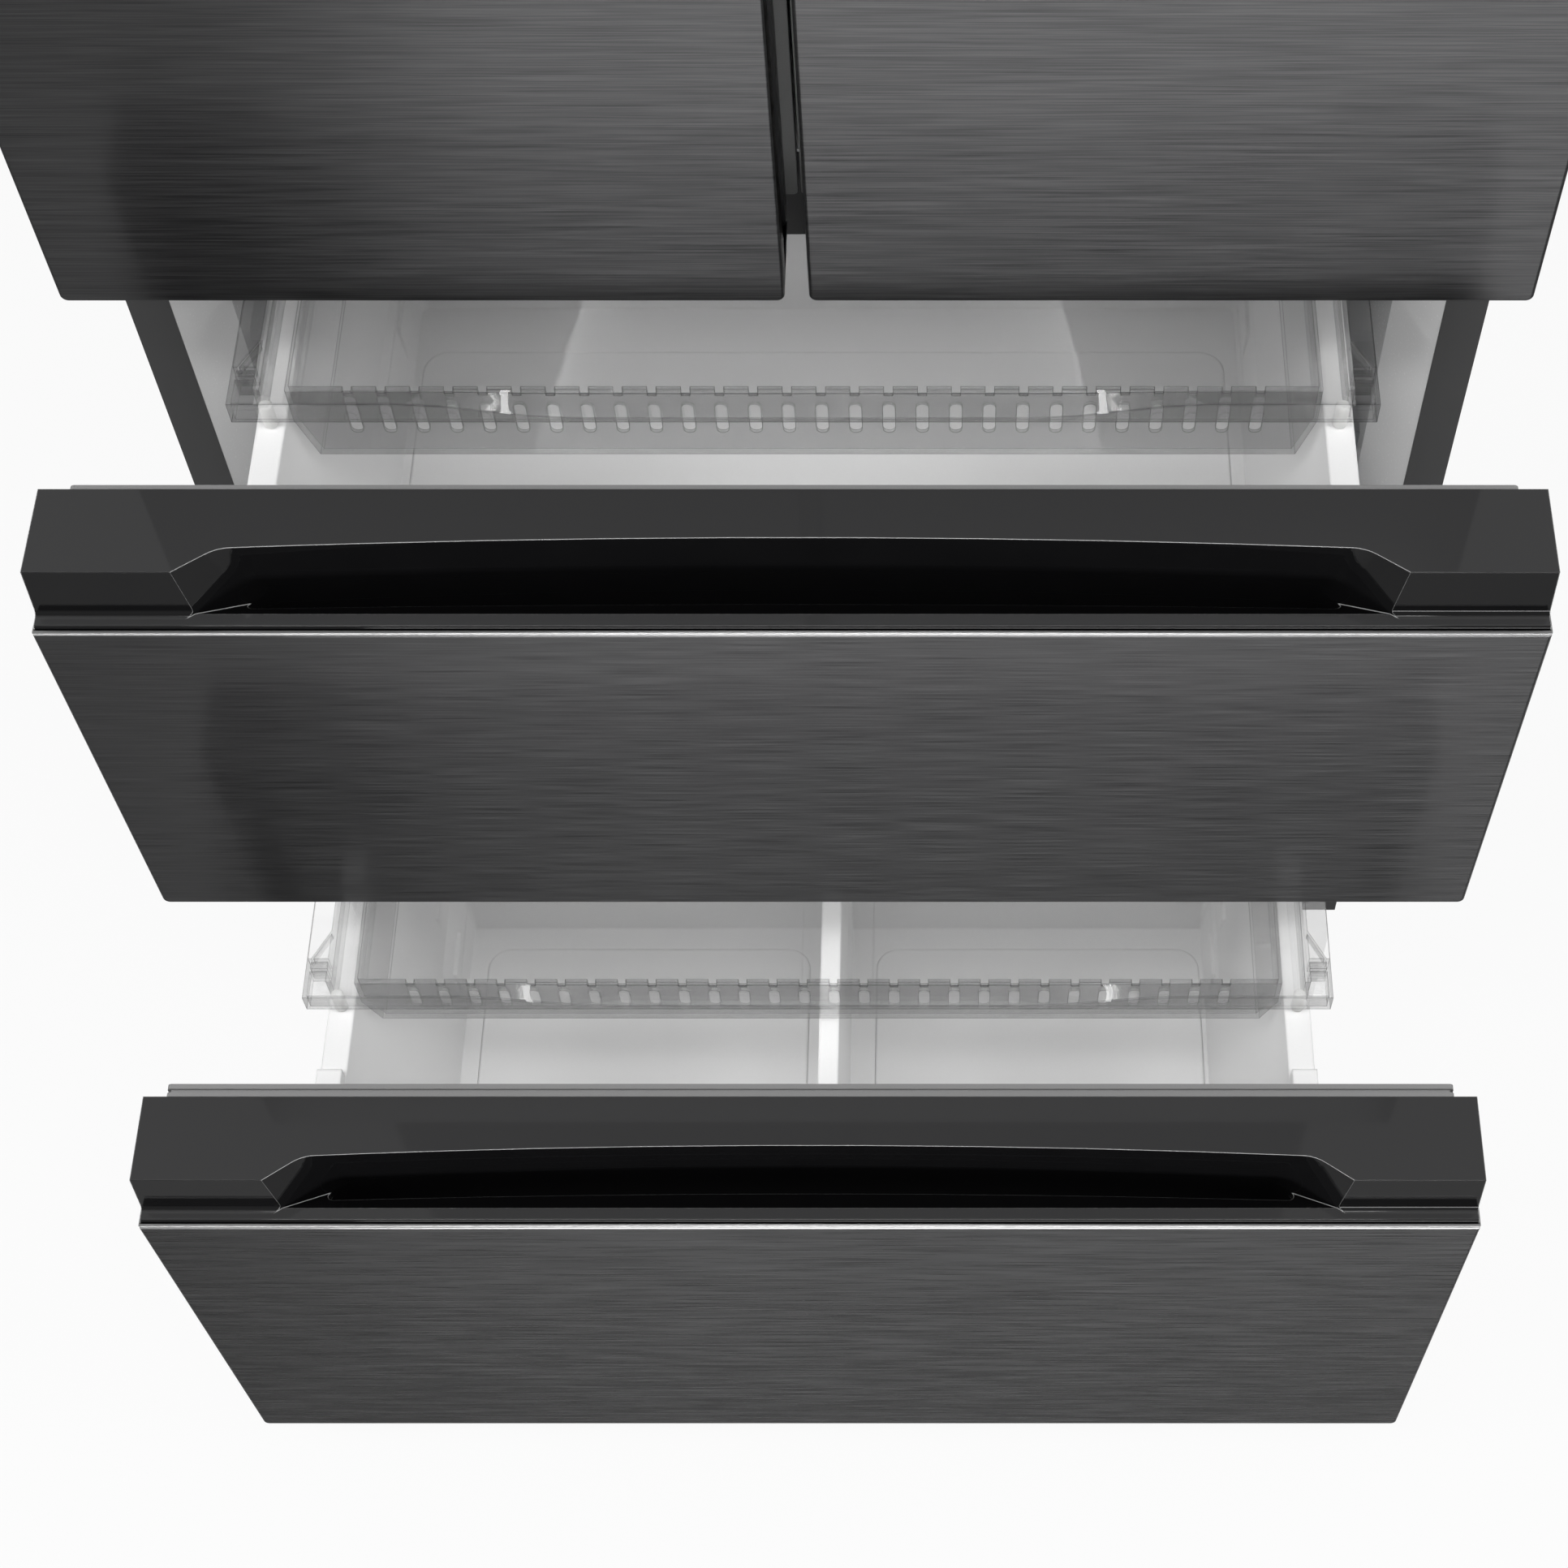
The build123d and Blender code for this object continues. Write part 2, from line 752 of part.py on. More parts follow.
# Evaporator fan: hub, shaft and five pitched blades
hub_length = 16.0
hub_y = cover_front + motor_length + clearance + hub_length / 2
blade_pitch = 35.0
with BuildPart(facing(0, hub_y, fan_height)) as evaporator_fan:
    Cylinder(fan_hub, hub_length)
    with Locations((0, 0, hub_length / 2)):
        Cylinder(fan_shaft, motor_length - 2 * clearance)
    with PolarLocations(0, fan_blades):
        with Locations(Location(((fan_blade_start + fan_radius) / 2, 0, 0), (blade_pitch, 0, 0))):
            Box(fan_radius - fan_blade_start, fan_blade_chord, fan_blade_thickness)
save(evaporator_fan, "evaporator_fan")

# Air duct: slotted panel up the back of the fridge compartment
duct_bottom = shelf_levels[0] + 20.0
duct_slot = (90.0, 16.0)
duct_slot_pitch = (140.0, 88.0)
duct_slot_count = (2, 6)
with BuildPart() as air_duct:
    block(middle(duct_half), (liner_depth - duct_thickness, liner_depth), (duct_bottom, fridge_ceiling))
    fillet(air_duct.edges().filter_by(Axis.Z).group_by(Axis.Y)[0], crisper_corner)
    with BuildSketch(facing(0, liner_depth - duct_thickness, (duct_bottom + fridge_ceiling) / 2)):
        with GridLocations(*duct_slot_pitch, *duct_slot_count):
            SlotOverall(duct_slot[0], duct_slot[1])
    extrude(amount=-duct_thickness / 2, mode=Mode.SUBTRACT)
save(air_duct, "air_duct")

# Glass shelves and the plastic bars on their front and back edges
glass_half = liner_half - shelf_side_gap
glass_setback = 2.0
with BuildPart() as glass_shelves:
    for level in shelf_levels:
        block(
            middle(glass_half),
            (shelf_front + glass_setback, shelf_back - glass_setback),
            (level - shelf_drop, level - shelf_drop + shelf_glass),
        )
save(glass_shelves, "glass_shelves")

with BuildPart() as shelf_bars:
    for level in shelf_levels:
        for bar_y in (shelf_front, shelf_back - shelf_bar_depth):
            block(
                middle(glass_half),
                (bar_y, bar_y + shelf_bar_depth),
                (level + glass_setback - shelf_bar_height, level + glass_setback),
            )
        block(
            middle(liner_half),
            (shelf_front + glass_setback, shelf_back - glass_setback),
            (level - shelf_drop, level - shelf_drop + shelf_glass),
            mode=Mode.SUBTRACT,
        )
        for side in (-1, 1):
            block(
                span(side, liner_half - shelf_ledge - clearance, liner_half),
                (shelf_front + shelf_ledge_height - clearance, liner_depth),
                (level - shelf_drop - shelf_bar_height, level - shelf_drop),
                mode=Mode.SUBTRACT,
            )
save(shelf_bars, "shelf_bars")


unit_edge = 2.0


def ceiling_unit(half, y, drop, corner, name):
    """Shallow moulding on the fridge compartment's ceiling."""
    with BuildPart() as unit:
        block(middle(half), y, (fridge_ceiling - drop, fridge_ceiling))
        fillet(unit.edges().filter_by(Axis.Z), corner)
        fillet(unit.faces().sort_by(Axis.Z)[0].edges(), unit_edge)
    save(unit, name)


lamp_half = 160.0
lamp_y = (200.0, 270.0)
lamp_drop = 7.0
lamp_corner = 12.0
ceiling_unit(lamp_half, lamp_y, lamp_drop, lamp_corner, "interior_lamp")

control_half = 110.0
control_y = (90.0, 150.0)
control_drop = 12.0
control_corner = 6.0
ceiling_unit(control_half, control_y, control_drop, control_corner, "control_panel")


def crisper(side, name):
    """Clear salad drawer over the fridge floor; side is -1 for left and 1 for right."""
    near = liner_wall + clearance
    far = liner_half - liner_wall
    top = fridge_floor + crisper_height
    grip_half = (far - near) / 4
    grip_middle = side * (near + far) / 2
    with BuildPart() as drawer:
        block(span(side, near, far), (crisper_front, crisper_back), (fridge_floor + clearance, top))
        fillet(drawer.edges().filter_by(Axis.Z), crisper_corner)
        offset(amount=-crisper_wall, openings=drawer.faces().sort_by(Axis.Z)[-1])
        block(
            (grip_middle - grip_half, grip_middle + grip_half),
            (crisper_front - crisper_grip, crisper_front + crisper_wall / 2),
            (top - 2 * crisper_grip, top - 2 * crisper_grip + 2 * crisper_wall),
        )
    save(drawer, name)


crisper(-1, "left_crisper")
crisper(1, "right_crisper")


def front_panel(x, z, face, rounded_top):
    """Steel sheet pressed into a shallow tray with its face forwards; a drawer's is open on top."""
    with BuildPart() as hollow:
        block(
            (x[0] + sheet, x[1] - sheet),
            (face + sheet, face + 2 * panel_return),
            (z[0] + sheet, z[1] - sheet),
        )
        corners = hollow.edges().filter_by(Axis.Y)
        fillet(corners if rounded_top else corners.group_by(Axis.Z)[0], panel_corner - sheet)
        fillet(hollow.faces().sort_by(Axis.Y)[0].edges(), panel_edge - sheet)
    with BuildPart() as panel:
        block(x, (face, face + panel_return), z)
        corners = panel.edges().filter_by(Axis.Y)
        fillet(corners if rounded_top else corners.group_by(Axis.Z)[0], panel_corner)
        fillet(panel.faces().sort_by(Axis.Y)[0].edges(), panel_edge)
        add(hollow.part, mode=Mode.SUBTRACT)
        if not rounded_top:
            block(
                (x[0] + sheet, x[1] - sheet),
                (face + fold_depth, face + 2 * panel_return),
                (z[1] - 2 * sheet, z[1] + sheet),
                mode=Mode.SUBTRACT,
            )
    return panel


def gasket(x, z, back, name):
    """Magnetic seal behind a front: a grooved strip round a rectangle."""
    with BuildPart() as seal:
        block(x, (back, back + gasket_thickness), z)
        fillet(seal.edges().filter_by(Axis.Y), gasket_corner)
        block(
            (x[0] + gasket_width, x[1] - gasket_width),
            (back, back + gasket_thickness),
            (z[0] + gasket_width, z[1] - gasket_width),
            mode=Mode.SUBTRACT,
        )
    with BuildPart() as groove:
        block(x, (back + gasket_lip, back + gasket_lip + gasket_groove), z)
        block(
            (x[0] + gasket_groove, x[1] - gasket_groove),
            (back, back + gasket_thickness),
            (z[0] + gasket_groove, z[1] - gasket_groove),
            mode=Mode.SUBTRACT,
        )
    with BuildPart() as grooved:
        add(seal.part)
        add(groove.part, mode=Mode.SUBTRACT)
    save(grooved, name)


def door(side, name):
    """One hinged fridge door; side is -1 for the left door and 1 for the right door."""
    face = face_closed
    free = door_split / 2
    frame_y = face + panel_return
    back = face + front_thickness
    pin_x = side * hinge_half
    skin_gap = sheet + foam_gap
    web = free + grip_depth + sheet

    pressing = front_panel(span(side, free, door_half), (door_bottom, door_top), face, True)
    with BuildPart() as panel:
        add(pressing.part)
        block(
            span(side, free - sheet, free + sheet + fit),
            (face + grip_start - clearance, frame_y + sheet),
            (door_bottom + panel_corner, door_top - panel_corner),
            mode=Mode.SUBTRACT,
        )
        post(pin_x, hinge_y, (door_bottom - sheet, door_top + sheet), hinge_pin_radius + rail_wall,
             mode=Mode.SUBTRACT)
    save(panel, f"{name}_panel")

    with BuildPart() as core:
        block(
            span(side, free + skin_gap, door_half - skin_gap),
            (face + skin_gap, frame_y - foam_gap),
            (door_bottom + skin_gap, door_top - skin_gap),
        )
        fillet(core.edges().filter_by(Axis.Y), panel_corner - sheet)
        fillet(core.faces().sort_by(Axis.Y)[0].edges(), panel_edge - sheet)
        block(
            span(side, free, web + foam_gap),
            (face + grip_start - foam_gap, frame_y),
            (door_bottom, door_top),
            mode=Mode.SUBTRACT,
        )
        block(
            span(side, web + foam_gap, door_half - door_frame_width - foam_gap),
            (frame_y - overlap, back - door_inner_wall),
            (door_bottom + door_frame_width + foam_gap, door_top - door_frame_width - foam_gap),
        )
        for low, high in (
            (door_bottom, door_bottom + hinge_pin_reach + clearance),
            (door_top - hinge_pin_reach - clearance, door_top),
        ):
            post(pin_x, hinge_y, (low, high), hinge_pin_radius + fit, mode=Mode.SUBTRACT)
    save(core, f"{name}_core")

    grip_z = (door_bottom + panel_corner + clearance, door_top - panel_corner - clearance)
    with BuildPart() as frame:
        block(
            span(side, free + skin_gap, door_half - sheet),
            (frame_y, back - door_inner_wall),
            (door_bottom + sheet, door_top - sheet),
        )
        fillet(frame.edges().filter_by(Axis.Y), panel_corner - sheet)
        block(
            span(side, web, door_half - door_frame_width),
            (frame_y, back),
            (door_bottom + door_frame_width, door_top - door_frame_width),
            mode=Mode.SUBTRACT,
        )
        block(span(side, free + skin_gap, web), (face + grip_start, frame_y + overlap), grip_z)
        block(
            span(side, free, web - grip_wall),
            (face + grip_start + grip_wall, frame_y - grip_wall),
            (grip_z[0] - grip_wall, grip_z[1] + grip_wall),
            mode=Mode.SUBTRACT,
        )
    save(frame, f"{name}_frame")

    ridge_near = ridge_free_half + ridge_width
    ridge_far = ridge_hinge_half - ridge_width
    ridge_z = (fridge_floor + ridge_inset, fridge_ceiling - ridge_inset)
    with BuildPart() as liner:
        block(
            span(side, ridge_free_half, ridge_hinge_half),
            (back - door_inner_wall, back + ridge_height),
            ridge_z,
        )
        fillet(liner.edges().group_by(Axis.Y)[-1], ridge_round)
        block(
            span(side, free + door_inner_wall, door_half - panel_corner),
            (back - door_inner_wall, back),
            (door_bottom + panel_corner, door_top - panel_corner),
        )
        block(
            span(side, ridge_near, ridge_far),
            (back, back + 2 * ridge_height),
            (ridge_z[0] + ridge_width, ridge_z[1] - ridge_width),
            mode=Mode.SUBTRACT,
        )
        if side < 0:
            for ear_z in (bar_bottom - bar_ear - clearance, bar_top + clearance):
                block(
                    (-ridge_free_half - overlap, -bar_pivot_half),
                    (bar_pivot_behind - 2 * bar_pin_radius, bar_pivot_behind + 2 * bar_pin_radius),
                    (ear_z, ear_z + bar_ear),
                )
                post(-bar_pivot_half, bar_pivot_behind, (ear_z, ear_z + bar_ear), 2 * bar_pin_radius)
                post(-bar_pivot_half, bar_pivot_behind, (ear_z, ear_z + bar_ear), bar_pin_radius + fit,
                     mode=Mode.SUBTRACT)
    save(liner, f"{name}_liner")

    gasket(
        span(side, door_gasket_meet / 2, gasket_outer_half),
        (door_bottom + door_gasket_inset, door_top - 2 * door_gasket_inset),
        back,
        f"{name}_gasket",
    )

    with BuildPart() as hollows:
        for level in door_bin_levels:
            block(
                span(side, ridge_near + door_bin_wall, ridge_far - door_bin_wall),
                (back + door_bin_wall, back + door_bin_depth - door_bin_wall),
                (level + door_bin_wall, level + 2 * door_bin_height),
            )
        fillet(hollows.edges().filter_by(Axis.Z).group_by(Axis.Y)[-1], door_bin_corner - door_bin_wall)
    with BuildPart() as bins:
        for level in door_bin_levels:
            block(
                span(side, ridge_near, ridge_far),
                (back, back + door_bin_depth),
                (level, level + door_bin_height),
            )
        fillet(bins.edges().filter_by(Axis.Z).group_by(Axis.Y)[-1], door_bin_corner)
        add(hollows.part, mode=Mode.SUBTRACT)
    save(bins, f"{name}_bins")


door(-1, "left_door")
door(1, "right_door")

# Centre bar: folds on the left door's free edge and bridges the gap between the doors
with BuildPart() as centre_bar:
    with BuildSketch(Plane.XY.offset(bar_bottom)):
        with Locations((-bar_pivot_half, flange_y + bar_pivot_behind + bar_reach / 2)):
            SlotCenterToCenter(bar_reach, 2 * bar_radius, rotation=90)
    extrude(amount=bar_top - bar_bottom)
    post(-bar_pivot_half, bar_pivot_behind, (bar_bottom - bar_ear, bar_top + bar_ear), bar_pin_radius)
save(centre_bar, "centre_bar")


def recess_section(face, top, drop):
    """Outline of the grip recess at one depth: slanted ends and an arched back, open to the front."""
    lean = recess_end_lean * drop / cap_step
    half_corner = recess_half_corner - lean
    corner_y = flange_y + face + cap_setback + recess_corner_depth
    centre_y = flange_y + face + cap_setback + recess_centre_depth
    front_y = flange_y + face
    slope = (recess_half_front - recess_half_corner) / recess_corner_depth
    half_front = half_corner + slope * (corner_y - front_y)
    with BuildSketch(Plane.XY.offset(top - drop)) as section:
        with BuildLine():
            ThreePointArc((-half_corner, corner_y), (0, centre_y), (half_corner, corner_y))
            Polyline(
                (half_corner, corner_y),
                (half_front, front_y),
                (-half_front, front_y),
                (-half_corner, corner_y),
            )
        make_face()
    return section.sketch


def trough_section(face, top, drop, throat, half):
    """Arched band behind the grip's lip, throat wide, its ends slanted as the recess's ends are."""
    corner_y = flange_y + face + cap_setback + recess_corner_depth
    centre_y = flange_y + face + cap_setback + recess_centre_depth
    lip_half = half + throat * (recess_half_front - recess_half_corner) / recess_corner_depth
    with BuildSketch(Plane.XY.offset(top - drop)) as section:
        with BuildLine():
            ThreePointArc((-half, corner_y), (0, centre_y), (half, corner_y))
            Line((half, corner_y), (lip_half, corner_y - throat))
            ThreePointArc(
                (lip_half, corner_y - throat),
                (0, centre_y - throat),
                (-lip_half, corner_y - throat),
            )
            Line((-lip_half, corner_y - throat), (-half, corner_y))
        make_face()
        fillet(section.vertices().group_by(Axis.Y)[0], lip_round)
        fillet(section.vertices().group_by(Axis.Y)[-1], recess_round)
    return section.sketch


def drawer_cap(face, top, name):
    """Moulded cap on a drawer front: leaning face, ledge, arched grip recess and foam cavities."""
    ramp_slope = ramp_drop / (lip_setback - cap_base_setback)
    throat = cap_setback + recess_centre_depth - lip_setback
    trough_half = recess_half_corner - recess_end_lean * (cap_step + ramp_drop) / cap_step
    lip_bottom = cap_step + ramp_drop + lip_thickness
    mouth = recess_section(face, top, -overlap)
    foot = recess_section(face, top, cap_height)
    throat_band = trough_section(face, top, cap_step, throat, trough_half)
    undercut_band = trough_section(face, top, lip_bottom, throat + lip_undercut, trough_half)
    corner_y = flange_y + face + cap_setback + recess_corner_depth
    with BuildPart() as recess:
        loft([mouth, foot])
        knees = [edge for edge in recess.edges()
                 if abs(edge.position_at(0).Y - corner_y) < overlap
                 and abs(edge.position_at(1).Y - corner_y) < overlap
                 and abs(edge.position_at(0).Z - edge.position_at(1).Z) > cap_height]
        fillet(knees, recess_round)
        with BuildSketch(sideways(-door_half)):
            with BuildLine():
                Polyline(
                    (face - overlap, top - cap_step),
                    (face + cap_base_setback, top - cap_step),
                    (face + front_thickness, top - cap_step
                     - ramp_slope * (front_thickness - cap_base_setback)),
                    (face + front_thickness, top - 2 * cap_height),
                    (face - overlap, top - 2 * cap_height),
                    close=True,
                )
            make_face()
        extrude(amount=2 * door_half, mode=Mode.SUBTRACT)
    with BuildPart() as trough:
        extrude(throat_band, amount=-(trough_depth - cap_step))
        extrude(undercut_band, amount=-(trough_depth - lip_bottom))
    corners = (
        ((face + cap_setback, top), cap_edge),
        ((face + front_thickness, top), cap_edge),
        ((face + front_thickness, top - cap_height), 0),
        ((face + cap_front, top - cap_height), 0),
        ((face + cap_front, top - cap_step), trim_round),
        ((face + cap_base_setback, top - cap_step), cap_fillet),
    )
    with BuildPart() as cap:
        with BuildSketch(sideways(-cap_half)):
            with BuildLine():
                FilletPolyline(*[point for point, radius in corners],
                               radius=[radius for point, radius in corners], close=True)
            make_face()
        extrude(amount=2 * cap_half)
        add(recess.part, mode=Mode.SUBTRACT)
        add(trough.part, mode=Mode.SUBTRACT)
        for cavity in cap_cavities(face, top, 0):
            block(*cavity, mode=Mode.SUBTRACT)
    save(cap, name)


def cap_cavities(face, top, gap):
    """The foam-filled hollows inside a drawer cap, each shrunk by gap."""
    outer = cap_half - cap_wall - gap
    rear = face + front_thickness - cap_wall - gap
    front = face + cap_setback + cap_wall + gap
    z = (top - cap_height - cap_wall, top - cap_wall - gap)
    back_hollow = (middle(outer), (face + cavity_back_start + gap, rear), z)
    ends = [(span(side, cavity_end_half + gap, outer), (front, rear), z) for side in (-1, 1)]
    return [back_hollow, *ends]


def drawer_front(bottom, top, opened, gasket_drop, name):
    """Front of one freezer drawer: steel panel, cap, foam core, inner pan and gasket."""
    face = face_closed - opened
    frame_y = face + panel_return
    back = face + front_thickness
    skin_gap = sheet + foam_gap
    cap_bottom = top - cap_height
    save(front_panel(middle(door_half), (bottom, top - panel_drop), face, False), f"{name}_panel")
    drawer_cap(face, top, f"{name}_cap")

    with BuildPart() as core:
        block(
            middle(door_half - skin_gap),
            (face + skin_gap, frame_y - foam_gap),
            (bottom + skin_gap, cap_bottom - foam_gap),
        )
        fillet(core.edges().filter_by(Axis.Y).group_by(Axis.Z)[0], panel_corner - sheet)
        fillet(core.faces().sort_by(Axis.Y)[0].edges(), panel_edge - sheet)
        block(
            middle(door_half - skin_gap - pan_side - foam_gap),
            (frame_y - overlap, back - pan_wall),
            (bottom + skin_gap + pan_side, cap_bottom - foam_gap),
        )
        for cavity in cap_cavities(face, top, foam_gap):
            block(*cavity)
    save(core, f"{name}_core")

    with BuildPart() as pan:
        block(middle(door_half - sheet), (frame_y, back), (bottom + sheet, cap_bottom))
        fillet(pan.edges().filter_by(Axis.Y).group_by(Axis.Z)[0], panel_corner - sheet)
        block(
            middle(door_half - sheet - pan_side),
            (frame_y - pan_side, back - pan_wall),
            (bottom + sheet + pan_side, cap_bottom + pan_side),
            mode=Mode.SUBTRACT,
        )
        block(
            middle(pan_step_half),
            (back - pan_wall, back + pan_step),
            (bottom + pan_step_rise, cap_bottom - foam_gap),
        )
    save(pan, f"{name}_liner")

    gasket(
        middle(gasket_outer_half),
        (bottom + drawer_gasket_rise, top - gasket_drop),
        back,
        f"{name}_gasket",
    )


def drawer_bin(top, opened, length, height, slide_length, name):
    """Tapered white bin with a turned-down rim, mounting blocks and pads for the slides."""
    front = face_closed - opened + front_thickness + pan_step
    rim = top - bin_rim_drop
    tub_length = length - bin_front_rim - bin_back_rim
    tub_centre = flange_y + front + bin_front_rim + tub_length / 2
    mouth = Plane(origin=(0, tub_centre, rim), x_dir=(1, 0, 0), z_dir=(0, 0, -1))
    outer_half = bin_inner_half + bin_wall
    slide_z = rim - height + slide_above_bin
    slide_start = slide_setback - opened
    pad_half_height = slide_half_height - 2 * (slide_wall + slide_play)
    wall_at_slide = outer_half - (height - slide_above_bin) * math.tan(math.radians(bin_draft))
    with BuildPart() as tub:
        block(middle(bin_rim_half), (front, front + length), (rim - bin_rim_lip, rim))
        fillet(tub.edges().filter_by(Axis.Z).group_by(Axis.Y)[-1], bin_corner / 2)
        block(
            middle(bin_rim_half - bin_wall),
            (front + bin_wall, front + length - bin_wall),
            (rim - 2 * bin_rim_lip, rim - bin_wall),
            mode=Mode.SUBTRACT,
        )
        with BuildSketch(mouth):
            RectangleRounded(2 * outer_half, tub_length, bin_corner + bin_wall)
        extrude(amount=height, taper=bin_draft)
        with BuildSketch(mouth):
            RectangleRounded(2 * bin_inner_half, tub_length - 2 * bin_wall, bin_corner)
        extrude(amount=height - bin_wall, taper=bin_draft, mode=Mode.SUBTRACT)
        for side in (-1, 1):
            block(
                span(side, bin_inner_half + overlap, bin_rim_half),
                (front, front + bin_block_length),
                (rim - bin_wall, rim + bin_block_height),
            )
            for pad_y in (slide_start + slide_pad_inset / 3,
                          slide_start + slide_length - slide_pad_inset - slide_pad_length):
                block(
                    span(side, wall_at_slide - 2 * bin_wall + overlap, slide_inner_inside),
                    (pad_y, pad_y + slide_pad_length),
                    (slide_z - pad_half_height, slide_z + pad_half_height),
                )
    save(tub, name)


def channel(side, inside, outside, half_height, y, z):
    """C-shaped slide member, open towards the middle of the cabinet."""
    block(span(side, inside, outside), y, (z - half_height, z + half_height))
    block(
        span(side, inside - slide_wall, outside - slide_wall),
        (y[0] - slide_wall, y[1] + slide_wall),
        (z - half_height + slide_wall, z + half_height - slide_wall),
        mode=Mode.SUBTRACT,
    )


def slide_member(inside, steps, opened, length, z, name):
    """Left and right members of a telescopic slide, nested steps deep inside the outer rail."""
    shrink = steps * (slide_wall + slide_play)
    start = slide_setback - opened
    with BuildPart() as member:
        for side in (-1, 1):
            channel(side, inside, slide_outer_half - shrink, slide_half_height - shrink,
                    (start, start + length), z)
    save(member, name)


def tray(top, opened, setback, length, depth, name):
    """Clear sliding tray: scooped front lip, slotted front, corner blocks and runners for the bin's rim."""
    front = face_closed - opened + front_thickness + setback
    rim = top - tray_rim_drop
    body_front = front + tray_flange - tray_wall / 2
    body_back = front + length - tray_flange
    thickness = tray_wall
    runner_drop = bin_rim_drop - tray_rim_drop - clearance
    stations = [(tray_half, 0.0)]
    for step in range(tray_scoop_steps + 1):
        share = step / tray_scoop_steps
        scoop = tray_scoop_depth * (1 - math.cos(math.pi * share)) / 2
        stations.append((tray_scoop_half - (tray_scoop_half - tray_scoop_flat) * share, scoop))
    sections = [(-x, scoop) for x, scoop in stations] + [(x, scoop) for x, scoop in reversed(stations)]
    with BuildPart() as lip:
        for x, scoop in sections:
            with BuildSketch(sideways(x, front, rim)):
                with BuildLine():
                    Polyline(
                        (0, -tray_lip),
                        (0, -scoop),
                        (tray_flange, 0),
                        (tray_flange, -thickness),
                        (thickness, -scoop - thickness + scoop / tray_lip),
                        (thickness, -tray_lip),
                        close=True,
                    )
                make_face()
        loft(ruled=True)
    with BuildPart() as body:
        add(lip.part)
        for shrink, mode in ((0, Mode.ADD), (thickness, Mode.SUBTRACT)):
            with BuildSketch(facing(0, body_front + shrink, rim)):
                with BuildLine():
                    Polyline(
                        (-tray_body_half + shrink, shrink),
                        (tray_body_half - shrink, shrink),
                        (tray_body_half - shrink, -tray_chamfer_start),
                        (tray_foot_half - shrink, -depth + shrink),
                        (-tray_foot_half + shrink, -depth + shrink),
                        (-tray_body_half + shrink, -tray_chamfer_start),
                        close=True,
                    )
                make_face()
            extrude(amount=-(body_back - body_front - 2 * shrink), mode=mode)
        for side in (-1, 1):
            block(
                span(side, tray_body_half - thickness, tray_half),
                (front + tray_flange - thickness, front + length),
                (rim - thickness, rim),
            )
            block(
                span(side, tray_runner_half, tray_runner_half + tray_runner),
                (front + tray_flange, front + length),
                (rim - runner_drop, rim - thickness / 2),
            )
            block_end = front + tray_block_length
            block(
                span(side, tray_half - thickness, tray_half),
                (front, block_end),
                (rim - tray_lip, rim),
            )
            for web_y in (block_end - tray_block_web, block_end):
                block(
                    span(side, tray_runner_half, tray_half),
                    (web_y - thickness, web_y),
                    (rim - tray_lip, rim - thickness / 2),
                )
            brace_near = side * (tray_runner_half + tray_runner / 2)
            brace_far = side * (tray_half - thickness)
            brace_end = block_end + tray_brace_length
            with BuildSketch(Plane.XY.offset(rim - tray_brace_height)):
                with BuildLine():
                    Polyline(
                        (brace_far, flange_y + block_end - thickness),
                        (brace_far, flange_y + block_end),
                        (brace_near, flange_y + brace_end),
                        (brace_near, flange_y + brace_end - thickness),
                        close=True,
                    )
                make_face()
            extrude(amount=tray_brace_height - thickness / 2)
        block(middle(tray_half), (body_back - thickness, front + length), (rim - thickness, rim))
        with BuildSketch(facing(0, body_front, rim)):
            with GridLocations(tray_slot_pitch, 1, tray_slots, 1):
                with Locations((0, -depth * (tray_slot_top_share + tray_slot_share / 2))):
                    SlotOverall(depth * tray_slot_share, tray_slot_width, rotation=90)
        extrude(amount=-2 * thickness, mode=Mode.SUBTRACT)
        with BuildSketch(facing(0, body_front - thickness / 2, rim)):
            with GridLocations(tray_slot_pitch, 1, tray_slots, 1):
                Rectangle(tray_notch_width, 2 * tray_notch_depth)
        extrude(amount=-3 * thickness, mode=Mode.SUBTRACT)
    save(body, name)


slide_z_upper = upper_top - bin_rim_drop - upper_bin_height + slide_above_bin
slide_z_lower = lower_top - bin_rim_drop - lower_bin_height + slide_above_bin

# Upper drawer, pulled out about half way
drawer_front(upper_bottom, upper_top, upper_open, upper_gasket_drop, "upper_drawer")
drawer_bin(upper_top, upper_open, upper_bin_length, upper_bin_height, upper_slide_length, "upper_bin")
tray(
    upper_top, upper_open, upper_tray_setback, upper_tray_length, upper_tray_depth, "upper_tray"
)
slide_member(slide_middle_inside, 1, upper_open / 2, upper_slide_length, slide_z_upper, "upper_slide_middle")
slide_member(slide_inner_inside, 2, upper_open, upper_slide_length, slide_z_upper, "upper_slide_inner")

# Lower drawer, pulled out all the way
drawer_front(floor_gap, lower_top, lower_open, lower_gasket_drop, "lower_drawer")
drawer_bin(lower_top, lower_open, lower_bin_length, lower_bin_height, lower_slide_length, "lower_bin")
tray(
    lower_top, lower_open, lower_tray_setback, lower_tray_length, lower_tray_depth, "lower_tray"
)
slide_member(slide_middle_inside, 1, lower_open / 2, lower_slide_length, slide_z_lower, "lower_slide_middle")
slide_member(slide_inner_inside, 2, lower_open, lower_slide_length, slide_z_lower, "lower_slide_inner")

